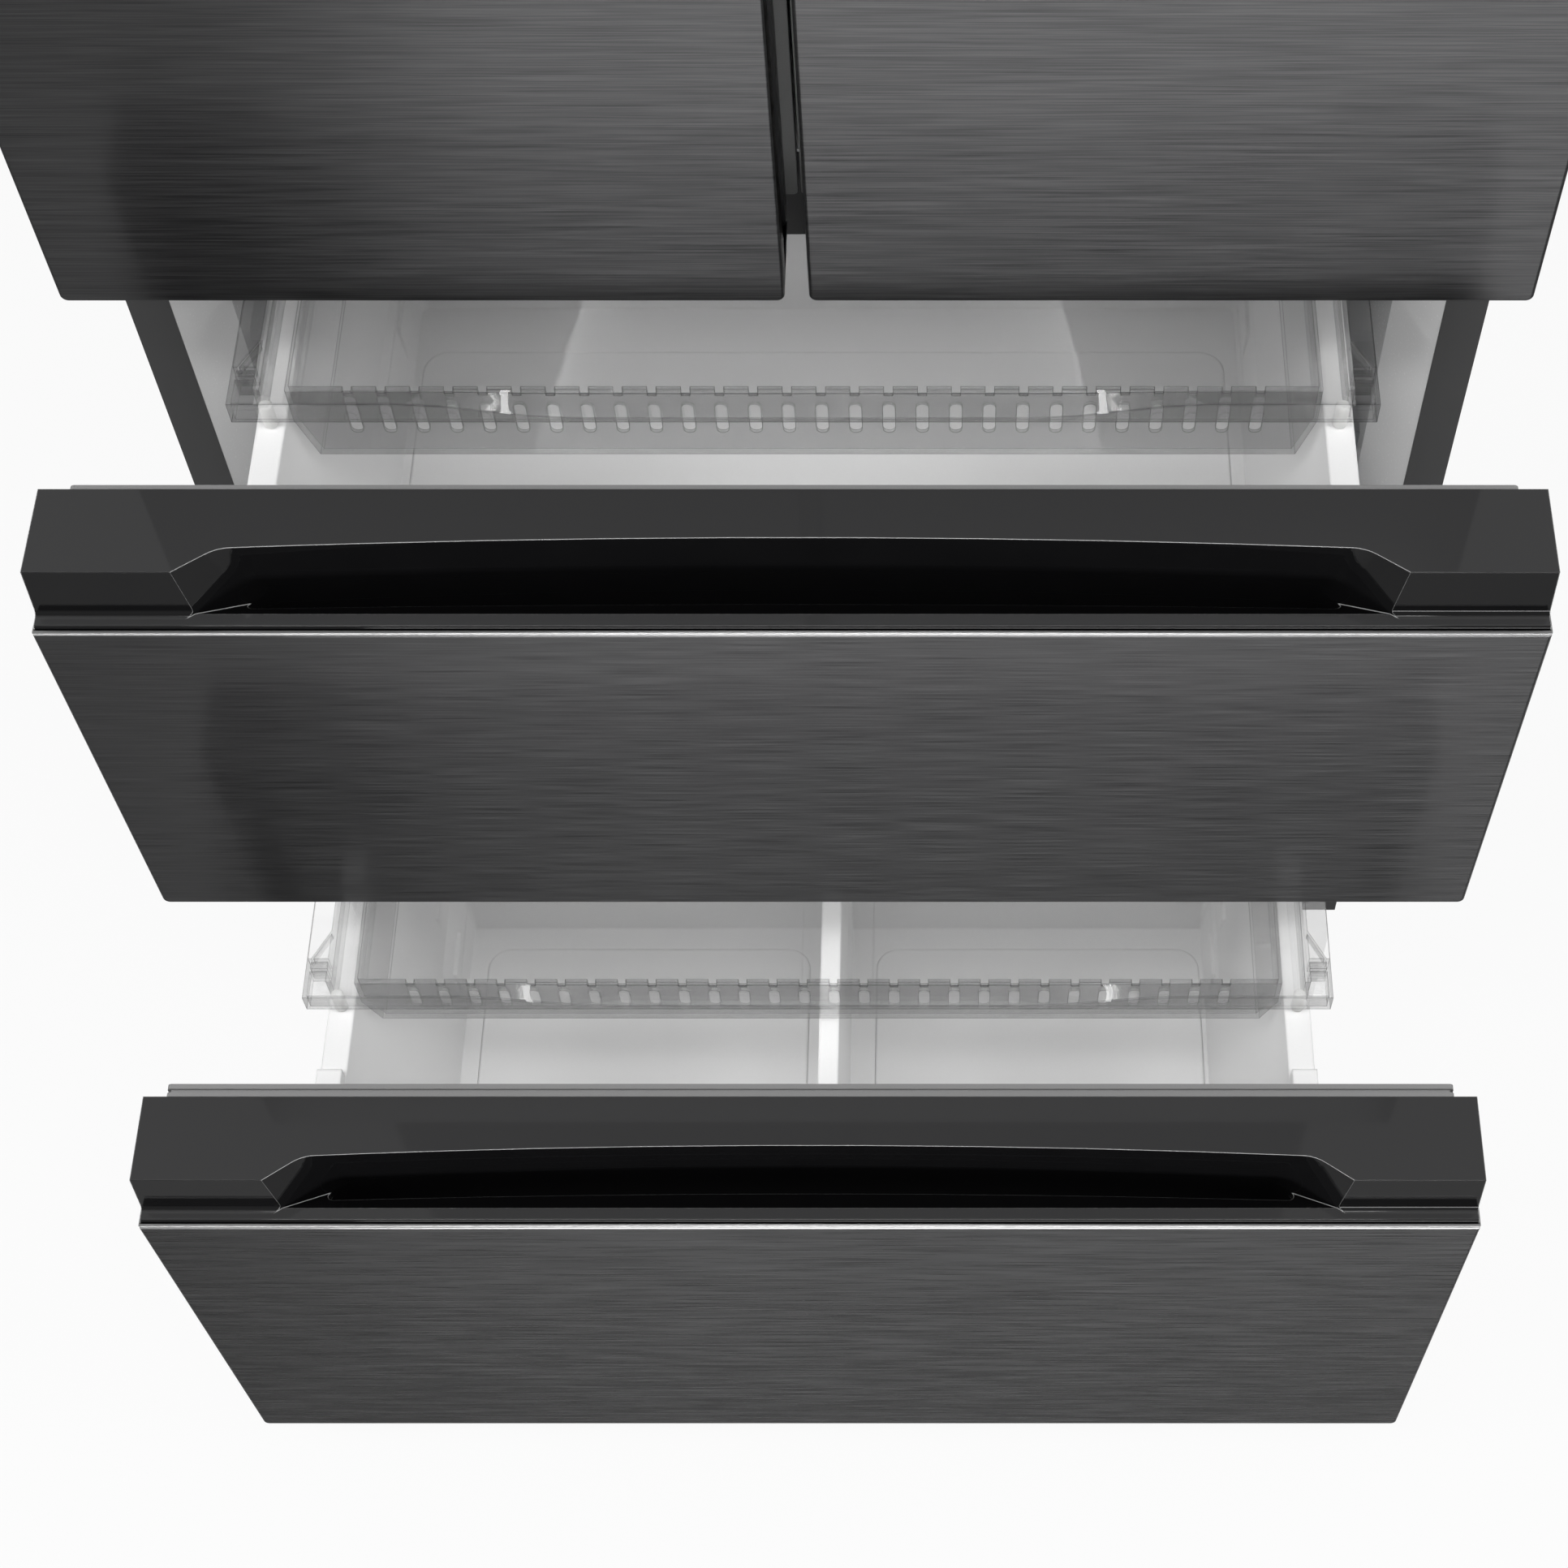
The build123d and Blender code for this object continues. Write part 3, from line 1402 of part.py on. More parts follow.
# Outer slide rails, screwed to the freezer liner's side walls through two ears each
with BuildPart() as slide_outer_rails:
    for length, slide_z in ((upper_slide_length, slide_z_upper), (lower_slide_length, slide_z_lower)):
        for side in (-1, 1):
            channel(side, slide_outer_inside, slide_outer_half, slide_half_height,
                    (slide_setback, slide_setback + length), slide_z)
            for ear_y in (slide_setback + slide_ear_length, slide_setback + length - 2 * slide_ear_length):
                block(
                    span(side, slide_outer_half - slide_wall / 2, liner_half),
                    (ear_y, ear_y + slide_ear_length),
                    (slide_z - slide_half_height / 2, slide_z + slide_half_height / 2),
                )
save(slide_outer_rails, "slide_outer_rails")

# Divider that stands across the lower bin from its front wall to its back wall
lower_rim = lower_top - bin_rim_drop
lower_tub_front = face_closed - lower_open + front_thickness + pan_step + bin_front_rim + bin_wall
lower_tub_length = lower_bin_length - bin_front_rim - bin_back_rim - 2 * bin_wall
draft_slope = math.tan(math.radians(bin_draft))
divider_foot = lower_rim - lower_bin_height + bin_wall
divider_top = lower_rim - divider_drop
divider_depth_top = lower_tub_front + draft_slope * divider_drop
divider_depth_foot = lower_tub_front + draft_slope * (lower_bin_height - bin_wall)
lower_tub_back = lower_tub_front + lower_tub_length
with BuildPart() as lower_divider:
    with BuildSketch(sideways(divider_offset - divider_width / 2)):
        with BuildLine():
            Polyline(
                (divider_depth_top + clearance, divider_top),
                (divider_depth_foot + clearance, divider_foot),
                (lower_tub_back - draft_slope * (lower_bin_height - bin_wall) - clearance, divider_foot),
                (lower_tub_back - draft_slope * divider_drop - clearance, divider_top),
                close=True,
            )
        make_face()
    extrude(amount=divider_width)
save(lower_divider, "lower_divider")
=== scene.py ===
import math

import bmesh
import bpy
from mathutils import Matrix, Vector


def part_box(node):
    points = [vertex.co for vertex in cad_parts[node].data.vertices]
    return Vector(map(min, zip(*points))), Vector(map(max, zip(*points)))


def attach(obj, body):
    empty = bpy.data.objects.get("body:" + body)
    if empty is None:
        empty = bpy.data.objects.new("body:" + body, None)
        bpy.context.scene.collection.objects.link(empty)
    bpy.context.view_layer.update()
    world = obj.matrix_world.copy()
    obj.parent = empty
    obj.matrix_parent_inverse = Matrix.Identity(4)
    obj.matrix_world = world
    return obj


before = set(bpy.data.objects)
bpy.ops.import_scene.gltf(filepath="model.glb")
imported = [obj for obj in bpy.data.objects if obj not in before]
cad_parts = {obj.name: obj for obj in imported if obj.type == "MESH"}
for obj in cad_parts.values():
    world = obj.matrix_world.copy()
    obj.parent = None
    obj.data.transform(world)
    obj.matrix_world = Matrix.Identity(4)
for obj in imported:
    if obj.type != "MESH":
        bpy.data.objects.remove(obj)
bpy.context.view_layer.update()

# Camera: a long lens high in front of the doors, tilted down at the two open freezer drawers.
# The picture is cropped off centre, so the lens is shifted sideways by that crop.
lens_data = bpy.data.cameras.new("studio_camera")
lens_data.sensor_width = 36.0
lens_data.lens = 63.675
lens_data.shift_x = -0.0991
lens_data.clip_start = 0.05
lens_data.clip_end = 60.0
studio_camera = bpy.data.objects.new("studio_camera", lens_data)
studio_camera.location = (0.08776, -1.2987, 2.220)
studio_camera.rotation_euler = (math.radians(31.25), 0.0, 0.0)
bpy.context.scene.collection.objects.link(studio_camera)
bpy.context.scene.camera = studio_camera
bpy.context.scene.view_settings.view_transform = "Standard"

# Studio: a pale seamless floor in a pale room whose walls are bright and whose ceiling is dim.
# The eye sees floor and room nearly white, and the floor still takes the fridge's shadow.
floor_half = 16.0
floor_drop = 0.0004
floor_white = (0.42, 0.42, 0.42, 1.0)
wall_light = 0.78
wall_end = 0.10
ceiling_light = 0.40
ceiling_start = 0.65
seen_share = 0.93
mirrored_share = 0.12
mirrored_wall = 0.75


def ray_kinds(tree):
    """Rays that come from the eye, straight or through clear mouldings, and rays off gloss."""
    path = tree.nodes.new("ShaderNodeLightPath")
    direct = tree.nodes.new("ShaderNodeMath")
    direct.operation = "MAXIMUM"
    tree.links.new(path.outputs["Is Camera Ray"], direct.inputs[0])
    tree.links.new(path.outputs["Is Transmission Ray"], direct.inputs[1])
    return direct.outputs[0], path.outputs["Is Glossy Ray"]


room = bpy.data.worlds.new("pale_room")
room.use_nodes = True
bpy.context.scene.world = room
nodes = room.node_tree.nodes
links = room.node_tree.links
way = nodes.new("ShaderNodeTexCoord")
split = nodes.new("ShaderNodeSeparateXYZ")
climb = nodes.new("ShaderNodeMapRange")
climb.inputs["From Min"].default_value = wall_end
climb.inputs["From Max"].default_value = ceiling_start
climb.inputs["To Min"].default_value = wall_light
climb.inputs["To Max"].default_value = ceiling_light
links.new(way.outputs["Generated"], split.inputs[0])
links.new(split.outputs["Z"], climb.inputs["Value"])
eye_rays, gloss_rays = ray_kinds(room.node_tree)
mirrored = nodes.new("ShaderNodeMath")
mirrored.operation = "MULTIPLY_ADD"
mirrored.inputs[1].default_value = mirrored_wall
links.new(gloss_rays, mirrored.inputs[0])
links.new(eye_rays, mirrored.inputs[2])
brighter = nodes.new("ShaderNodeMath")
brighter.operation = "MAXIMUM"
links.new(mirrored.outputs[0], brighter.inputs[0])
links.new(climb.outputs["Result"], brighter.inputs[1])
links.new(brighter.outputs[0], nodes["Background"].inputs["Strength"])
nodes["Background"].inputs["Color"].default_value = (1.0, 1.0, 1.0, 1.0)

floor_paper = bpy.data.materials.new("floor_paper")
floor_paper.use_nodes = True
nodes = floor_paper.node_tree.nodes
links = floor_paper.node_tree.links
paper = nodes["Principled BSDF"]
paper.inputs["Base Color"].default_value = floor_white
paper.inputs["Roughness"].default_value = 0.9
glow = nodes.new("ShaderNodeEmission")
glow.inputs["Strength"].default_value = 1.0
eye_rays, gloss_rays = ray_kinds(floor_paper.node_tree)
mirrored = nodes.new("ShaderNodeMath")
mirrored.operation = "MULTIPLY"
mirrored.inputs[1].default_value = mirrored_share
links.new(gloss_rays, mirrored.inputs[0])
share = nodes.new("ShaderNodeMath")
share.operation = "MULTIPLY_ADD"
share.inputs[1].default_value = seen_share
links.new(eye_rays, share.inputs[0])
links.new(mirrored.outputs[0], share.inputs[2])
either = nodes.new("ShaderNodeMixShader")
links.new(share.outputs[0], either.inputs["Fac"])
links.new(paper.outputs[0], either.inputs[1])
links.new(glow.outputs[0], either.inputs[2])
links.new(either.outputs[0], nodes["Material Output"].inputs["Surface"])

floor_mesh = bpy.data.meshes.new("studio_floor")
floor_mesh.from_pydata(
    [
        (x * floor_half, y * floor_half, -floor_drop)
        for x, y in ((-1, -1), (1, -1), (1, 1), (-1, 1))
    ],
    [],
    [(0, 1, 2, 3)],
)
floor_mesh.materials.append(floor_paper)
studio_floor = bpy.data.objects.new("studio_floor", floor_mesh)
bpy.context.scene.collection.objects.link(studio_floor)

# Lamps: a long softbox overhead, one at each side and a wide low one in front that glows in the
# brushed fronts. Small ones shine into the freezer from under its top and its middle rail.
# They are rectangles of light, out of sight themselves, and only two of them show in gloss.
for name, place, aim, size, watts, in_gloss in (
    ("overhead_strip", (-0.1, -1.43, 3.2), (0.0, -0.35, 0.5), (1.9, 0.26), 38.0, True),
    ("left_softbox", (-1.9, -0.95, 2.1), (0.0, -0.30, 0.6), (0.8, 0.8), 31.0, False),
    ("right_softbox", (1.9, -0.95, 2.1), (0.0, -0.30, 0.6), (0.8, 0.8), 27.0, False),
    ("front_softbox", (0.25, -2.4, 0.45), (0.10, -0.5, 0.8), (1.9, 0.4), 46.0, True),
    ("freezer_lamp_left", (-0.20, 0.00, 0.86), (0.42, -0.12, 0.66), (0.20, 0.06), 0.32, False),
    ("freezer_lamp_right", (0.20, 0.00, 0.86), (-0.42, -0.12, 0.66), (0.20, 0.06), 0.28, False),
    ("lower_freezer_lamp", (0.0, -0.14, 0.53), (0.0, -0.36, 0.20), (0.60, 0.05), 0.7, False),
):
    lamp_data = bpy.data.lights.new(name, "AREA")
    lamp_data.shape = "RECTANGLE"
    lamp_data.size, lamp_data.size_y = size
    lamp_data.energy = watts
    lamp = bpy.data.objects.new(name, lamp_data)
    lamp.location = place
    lamp.rotation_euler = (Vector(aim) - Vector(place)).to_track_quat("-Z", "Y").to_euler()
    lamp.visible_camera = False
    lamp.visible_transmission = False
    lamp.visible_glossy = in_gloss
    bpy.context.scene.collection.objects.link(lamp)

# Cabinet shell and cross rails: thin steel sheet, folded, powder coated charcoal and baked.
# The coat has a very fine orange peel that only softens its gloss.
charcoal = ((0.013, 0.013, 0.0135), (0.017, 0.017, 0.0175))


def coated(name, colours, gloss, grain, relief=0.0, fixed=None):
    """Finish with a fine grain, in metres, that stands proud by relief.

    The grain moves the colour between two colours and the roughness between two gloss values.
    Other sockets of the shader are fixed.
    """
    made = bpy.data.materials.new(name)
    made.use_nodes = True
    nodes = made.node_tree.nodes
    links = made.node_tree.links
    shader = nodes["Principled BSDF"]
    for socket, value in (fixed or {}).items():
        shader.inputs[socket].default_value = value
    place = nodes.new("ShaderNodeTexCoord")
    speck = nodes.new("ShaderNodeTexNoise")
    speck.inputs["Scale"].default_value = 1.0 / grain
    speck.inputs["Detail"].default_value = 3.0
    links.new(place.outputs["Object"], speck.inputs["Vector"])
    tint = nodes.new("ShaderNodeMix")
    tint.data_type = "RGBA"
    tint.inputs["A"].default_value = (*colours[0], 1.0)
    tint.inputs["B"].default_value = (*colours[1], 1.0)
    links.new(speck.outputs["Fac"], tint.inputs["Factor"])
    links.new(tint.outputs["Result"], shader.inputs["Base Color"])
    dullness = nodes.new("ShaderNodeMapRange")
    dullness.inputs["To Min"].default_value = gloss[0]
    dullness.inputs["To Max"].default_value = gloss[1]
    links.new(speck.outputs["Fac"], dullness.inputs["Value"])
    links.new(dullness.outputs["Result"], shader.inputs["Roughness"])
    if relief:
        skin = nodes.new("ShaderNodeBump")
        skin.inputs["Strength"].default_value = 1.0
        skin.inputs["Distance"].default_value = relief
        links.new(speck.outputs["Fac"], skin.inputs["Height"])
        links.new(skin.outputs["Normal"], shader.inputs["Normal"])
    return made


def wear(material, *names):
    """Put a finish on the CAD nodes of these names."""
    for name in names:
        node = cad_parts[name]
        if not node.material_slots:
            node.data.materials.append(material)
        for holder in node.material_slots:
            holder.material = material


powder_coat = coated("charcoal_powder_coat", charcoal, (0.34, 0.42), 0.0012, relief=0.00002)
wear(powder_coat, "cabinet_shell", "cross_rails")

# Back panel and machine room cover: galvanised sheet with a pale grey primer.
# Cut and punched flat, then screwed to the cabinet's edges.
primer = coated(
    "grey_primer", ((0.30, 0.31, 0.32), (0.35, 0.36, 0.37)), (0.5, 0.62), 0.004, relief=0.00002
)
wear(primer, "back_panel", "machine_cover")

# Base frame, slide members and their outer rails: zinc plated steel, rolled and pressed.
# The plating shows a faint crystal pattern.
zinc = coated(
    "zinc_plate",
    ((0.50, 0.51, 0.53), (0.62, 0.63, 0.64)),
    (0.24, 0.40),
    0.006,
    relief=0.00001,
    fixed={"Metallic": 1.0},
)
wear(
    zinc,
    "base_frame",
    "slide_outer_rails",
    "upper_slide_inner",
    "upper_slide_middle",
    "lower_slide_inner",
    "lower_slide_middle",
)

# Foam: rigid polyurethane, cream and finely pored.
# It is foamed in place between shell and liners, and in the doors and drawer fronts.
foam = coated(
    "cream_foam", ((0.70, 0.60, 0.36), (0.84, 0.76, 0.52)), (0.85, 0.95), 0.0025, relief=0.0004
)
wear(
    foam,
    "insulation",
    "left_door_core",
    "right_door_core",
    "upper_drawer_core",
    "lower_drawer_core",
)

# Liners: white high impact polystyrene sheet.
# Vacuum formed in one piece for each compartment and front, and held by the foam.
liner_white = coated(
    "liner_white", ((0.76, 0.76, 0.76), (0.79, 0.79, 0.79)), (0.22, 0.30), 0.0015, relief=0.00002
)
wear(
    liner_white,
    "fridge_liner",
    "freezer_liner",
    "left_door_liner",
    "right_door_liner",
    "upper_drawer_liner",
    "lower_drawer_liner",
)

# Hinges: steel plates with fixed pins, blacked.
# Pressed, riveted and screwed to the cabinet's top and to the cross rail.
hinge_black = coated(
    "blacked_steel",
    ((0.05, 0.05, 0.055), (0.08, 0.08, 0.085)),
    (0.32, 0.45),
    0.002,
    relief=0.00002,
    fixed={"Metallic": 0.85},
)
wear(hinge_black, "hinges")

# Black mouldings: hinge covers, legs, kick plate, door frames, fan, rollers and centre bar.
# Filled polypropylene, injection moulded, with a light spark grain from the mould.
moulded_black = coated(
    "black_moulding",
    ((0.014, 0.014, 0.015), (0.022, 0.022, 0.023)),
    (0.30, 0.42),
    0.0007,
    relief=0.00003,
)
wear(
    moulded_black,
    "hinge_covers",
    "levelling_legs",
    "kick_plate",
    "evaporator_fan",
    "rear_roller_left",
    "rear_roller_right",
    "centre_bar",
    "left_door_frame",
    "right_door_frame",
)

# Compressor and condenser: drawn and bent steel under black enamel.
# Both stand in the machine room, behind its cover.
enamel = coated(
    "black_enamel", ((0.012, 0.012, 0.013), (0.03, 0.03, 0.03)), (0.24, 0.36), 0.01, relief=0.00005
)
wear(enamel, "compressor", "condenser")

# Evaporator: aluminium fins pressed on aluminium tubes.
# It hangs behind the freezer's back cover, and frost dulls it.
fin_metal = coated(
    "fin_aluminium",
    ((0.66, 0.67, 0.69), (0.80, 0.81, 0.82)),
    (0.28, 0.45),
    0.003,
    fixed={"Metallic": 1.0},
)
wear(fin_metal, "evaporator")

# White mouldings: evaporator cover, air duct, shelf bars, freezer bins and the divider.
# Injection moulded polypropylene, slightly satin, with soft edges so that they leave the mould.
white_edge_radius = 0.003


def rounded(material, radius):
    """Normal that rolls over the edges of a moulding by radius."""
    rounding = material.node_tree.nodes.new("ShaderNodeBevel")
    rounding.samples = 8
    rounding.inputs["Radius"].default_value = radius
    return rounding.outputs["Normal"]


def soft_edges(material, radius):
    """Round the look of a moulding's edges."""
    nodes = material.node_tree.nodes
    skin = [node for node in nodes if node.type == "BUMP"]
    target = skin[0] if skin else nodes["Principled BSDF"]
    material.node_tree.links.new(rounded(material, radius), target.inputs["Normal"])


moulded_white = coated(
    "white_moulding", ((0.72, 0.72, 0.72), (0.75, 0.75, 0.75)), (0.30, 0.40), 0.0012, relief=0.00002
)
wear(
    moulded_white,
    "evaporator_cover",
    "air_duct",
    "shelf_bars",
    "upper_bin",
    "lower_bin",
    "lower_divider",
)
soft_edges(moulded_white, white_edge_radius)

# Glass shelves: 4 mm toughened sheet, a little green at its edges.
# Cut and ground before it is toughened, and clipped into the shelf bars.
# Painted shade in the see-through: darker where a clear surface is seen at a slant, darker still
# along its edges.
shallow_look = 0.12
shallow_shade = 0.45
clear_edge_shade = (0.22, 0.22, 0.22, 1.0)
flat_turn = 0.985
edge_turn = 0.85


def edge_share(material, radius):
    """From 0 on a flat face to 1 on the edges, as wide as radius."""
    nodes = material.node_tree.nodes
    links = material.node_tree.links
    flat = nodes.new("ShaderNodeNewGeometry")
    turn = nodes.new("ShaderNodeVectorMath")
    turn.operation = "DOT_PRODUCT"
    links.new(flat.outputs["Normal"], turn.inputs[0])
    links.new(rounded(material, radius), turn.inputs[1])
    edge = nodes.new("ShaderNodeMapRange")
    edge.inputs["From Min"].default_value = flat_turn
    edge.inputs["From Max"].default_value = edge_turn
    links.new(turn.outputs["Value"], edge.inputs["Value"])
    return edge.outputs["Result"]


def see_through(material, lamp_tint, eye_tint, eye_share, edge_radius=None):
    """Let lamps shine through a clear finish, tinted, and let a share of other rays pass unbent.

    With edge_radius, a painted shade darkens the look through the edges, for the light they bend
    away. The unbent rays also get a painted shade where the surface is seen at a slant.
    """
    nodes = material.node_tree.nodes
    links = material.node_tree.links
    # Painted shade: rays seen at a slant are darker.
    shallow = nodes.new("ShaderNodeLayerWeight")
    shallow.inputs["Blend"].default_value = shallow_look
    slant_shade_mix = nodes.new("ShaderNodeMix")
    slant_shade_mix.data_type = "RGBA"
    slant_shade_mix.inputs["A"].default_value = (*eye_tint, 1.0)
    slant_shade_mix.inputs["B"].default_value = (*[shallow_shade * part for part in eye_tint], 1.0)
    links.new(shallow.outputs["Facing"], slant_shade_mix.inputs["Factor"])
    straight = nodes.new("ShaderNodeBsdfTransparent")
    links.new(slant_shade_mix.outputs["Result"], straight.inputs["Color"])
    # Painted shade along the edges.
    if edge_radius:
        edge_shade_mix = nodes.new("ShaderNodeMix")
        edge_shade_mix.data_type = "RGBA"
        edge_shade_mix.inputs["B"].default_value = clear_edge_shade
        links.new(edge_share(material, edge_radius), edge_shade_mix.inputs["Factor"])
        links.new(slant_shade_mix.outputs["Result"], edge_shade_mix.inputs["A"])
        links.new(edge_shade_mix.outputs["Result"], straight.inputs["Color"])
    clear = nodes.new("ShaderNodeMixShader")
    clear.inputs["Fac"].default_value = eye_share
    links.new(nodes["Principled BSDF"].outputs[0], clear.inputs[1])
    links.new(straight.outputs[0], clear.inputs[2])
    path = nodes.new("ShaderNodeLightPath")
    open_way = nodes.new("ShaderNodeBsdfTransparent")
    open_way.inputs["Color"].default_value = (*lamp_tint, 1.0)
    either = nodes.new("ShaderNodeMixShader")
    links.new(path.outputs["Is Shadow Ray"], either.inputs["Fac"])
    links.new(clear.outputs[0], either.inputs[1])
    links.new(open_way.outputs[0], either.inputs[2])
    links.new(either.outputs[0], nodes["Material Output"].inputs["Surface"])


shelf_glass = coated(
    "toughened_glass",
    ((0.80, 0.93, 0.88), (0.84, 0.95, 0.91)),
    (0.01, 0.03),
    0.05,
    fixed={"Transmission Weight": 1.0, "IOR": 1.52},
)
see_through(shelf_glass, (0.85, 0.92, 0.90), (0.93, 0.97, 0.95), 0.5)
wear(shelf_glass, "glass_shelves")

# Clear mouldings: freezer trays, salad crispers and door bins in crystal polystyrene.
# Injection moulded in polished tools. Their edges get a dark painted shade, for the light that
# leaves there sideways.
clear_edge_radius = 0.0011
crystal = coated(
    "crystal_polystyrene",
    ((0.97, 0.97, 0.97), (0.99, 0.99, 0.99)),
    (0.01, 0.03),
    0.02,
    fixed={"Transmission Weight": 1.0, "IOR": 1.65},
)
see_through(
    crystal, (0.86, 0.86, 0.86), (0.985, 0.985, 0.985), 0.72, edge_radius=clear_edge_radius
)
wear(
    crystal,
    "upper_tray",
    "lower_tray",
    "left_crisper",
    "right_crisper",
    "left_door_bins",
    "right_door_bins",
)

# Interior lamp: an opal polycarbonate diffuser over a row of light diodes.
# It snaps into the fridge liner's roof.
opal = coated(
    "opal_diffuser", ((0.88, 0.88, 0.85), (0.92, 0.92, 0.90)), (0.35, 0.45), 0.003, relief=0.00001
)
wear(opal, "interior_lamp")

# Piano black mouldings: the drawers' caps with their grip recesses, and the control panel.
# High gloss ABS, polished in the mould. Faces that look up get a lighter painted sheen, and
# the edges get a thin painted highlight line.
black_edge_radius = 0.0008
# Width and colour of the painted highlight line along the edges.
edge_highlight_radius = 0.0010
edge_highlight_colour = (0.34, 0.34, 0.34, 1.0)
# Lighter colour of the faces that look up, a painted sheen.
lit_top_tint = (0.028, 0.028, 0.0285, 1.0)
lit_top_from = 0.80
lit_top_full = 0.99

piano_black = coated(
    "piano_black",
    ((0.0025, 0.0025, 0.0027), (0.0035, 0.0035, 0.0037)),
    (0.03, 0.06),
    0.03,
    fixed={"IOR": 1.5, "Specular IOR Level": 0.16},
)
soft_edges(piano_black, black_edge_radius)
nodes = piano_black.node_tree.nodes
links = piano_black.node_tree.links
lacquer = nodes["Principled BSDF"]
# Painted sheen: the faces that look up get a lighter base colour.
facing = nodes.new("ShaderNodeNewGeometry")
upright = nodes.new("ShaderNodeSeparateXYZ")
links.new(facing.outputs["Normal"], upright.inputs[0])
upward_share = nodes.new("ShaderNodeMapRange")
upward_share.inputs["From Min"].default_value = lit_top_from
upward_share.inputs["From Max"].default_value = lit_top_full
links.new(upright.outputs["Z"], upward_share.inputs["Value"])
lit_top_mix = nodes.new("ShaderNodeMix")
lit_top_mix.data_type = "RGBA"
lit_top_mix.inputs["B"].default_value = lit_top_tint
links.new(upward_share.outputs["Result"], lit_top_mix.inputs["Factor"])
links.new(lacquer.inputs["Base Color"].links[0].from_socket, lit_top_mix.inputs["A"])
# Painted highlight: a light grey line in the base colour along the edges.
edge_highlight_mix = nodes.new("ShaderNodeMix")
edge_highlight_mix.data_type = "RGBA"
edge_highlight_mix.inputs["B"].default_value = edge_highlight_colour
links.new(edge_share(piano_black, edge_highlight_radius), edge_highlight_mix.inputs["Factor"])
links.new(lit_top_mix.outputs["Result"], edge_highlight_mix.inputs["A"])
links.new(edge_highlight_mix.outputs["Result"], lacquer.inputs["Base Color"])
wear(piano_black, "upper_drawer_cap", "lower_drawer_cap", "control_panel")

# Cord gland: moulded rubber bush with a dull skin.
# Pushed into the hole for the mains lead in the machine room's cover.
black_rubber = coated(
    "black_rubber",
    ((0.018, 0.018, 0.018), (0.028, 0.028, 0.028)),
    (0.62, 0.75),
    0.001,
    relief=0.00004,
)
wear(black_rubber, "cord_gland")

# Gaskets: grey extruded PVC with a magnet strip inside.
# Welded into frames at their corners and pushed into the liners' grooves.
seal_grey = coated(
    "grey_seal", ((0.16, 0.16, 0.16), (0.20, 0.20, 0.20)), (0.42, 0.55), 0.001, relief=0.00003
)
wear(
    seal_grey,
    "left_door_gasket",
    "right_door_gasket",
    "upper_drawer_gasket",
    "lower_drawer_gasket",
)

# Fronts: stainless sheet with a dark clear-coated tint, brushed sideways, then pressed.
# Each brush stroke is a fine line, and the sheet spreads a lamp's reflection up and down.
# The folded top edge and the trimmed ends get a brighter metal colour, a painted highlight line.
steel_dark = (0.036, 0.036, 0.037, 1.0)
steel_light = (0.066, 0.066, 0.067, 1.0)
# Colour of the painted highlight along the fold and the ends.
steel_highlight = (0.30, 0.30, 0.30, 1.0)
steel_mirror_tint = (0.3, 0.3, 0.3, 1.0)
broad_share = 0.28
stroke_gloss = (0.29, 0.38)
stroke_relief = 0.000006
# Reach of the painted highlight bands along the fold and the ends.
fold_highlight_from = 0.9958
fold_highlight_full = 0.9970
end_highlight_from = 0.4983
end_highlight_full = 0.4988
end_highlight_share = 0.6

dark_steel = bpy.data.materials.new("brushed_dark_steel")
dark_steel.use_nodes = True
nodes = dark_steel.node_tree.nodes
links = dark_steel.node_tree.links
steel = nodes["Principled BSDF"]
steel.inputs["Metallic"].default_value = 1.0
steel.inputs["Anisotropic"].default_value = 0.92
steel.inputs["Anisotropic Rotation"].default_value = 0.25
steel.inputs["Specular Tint"].default_value = steel_mirror_tint
steel.inputs["Coat Weight"].default_value = 0.25
steel.inputs["Coat Roughness"].default_value = 0.12
brushed_way = nodes.new("ShaderNodeTangent")
brushed_way.direction_type = "RADIAL"
brushed_way.axis = "Z"
links.new(brushed_way.outputs["Tangent"], steel.inputs["Tangent"])
place = nodes.new("ShaderNodeTexCoord")


def strokes(thickness, length, low, high):
    """Brush strokes of one thickness and length, from 0 between strokes to 1 on them."""
    along = nodes.new("ShaderNodeMapping")
    along.inputs["Scale"].default_value = (thickness / length, thickness / length, 1.0)
    hair = nodes.new("ShaderNodeTexNoise")
    hair.inputs["Scale"].default_value = 1.0 / thickness
    hair.inputs["Detail"].default_value = 1.0
    reach = nodes.new("ShaderNodeMapRange")
    reach.inputs["From Min"].default_value = low
    reach.inputs["From Max"].default_value = high
    links.new(place.outputs["Object"], along.inputs["Vector"])
    links.new(along.outputs["Vector"], hair.inputs["Vector"])
    links.new(hair.outputs["Fac"], reach.inputs["Value"])
    return reach.outputs["Result"]


fine_strokes = strokes(0.0007, 0.06, 0.28, 0.72)
broad_strokes = strokes(0.0021, 0.20, 0.30, 0.70)
both = nodes.new("ShaderNodeMix")
both.inputs["Factor"].default_value = broad_share
links.new(fine_strokes, both.inputs["A"])
links.new(broad_strokes, both.inputs["B"])
tint = nodes.new("ShaderNodeMix")
tint.data_type = "RGBA"
tint.inputs["A"].default_value = steel_dark
tint.inputs["B"].default_value = steel_light
links.new(both.outputs["Result"], tint.inputs["Factor"])
dullness = nodes.new("ShaderNodeMapRange")
dullness.inputs["To Min"].default_value = stroke_gloss[0]
dullness.inputs["To Max"].default_value = stroke_gloss[1]
links.new(fine_strokes, dullness.inputs["Value"])
links.new(dullness.outputs["Result"], steel.inputs["Roughness"])
skin = nodes.new("ShaderNodeBump")
skin.inputs["Strength"].default_value = 1.0
skin.inputs["Distance"].default_value = stroke_relief
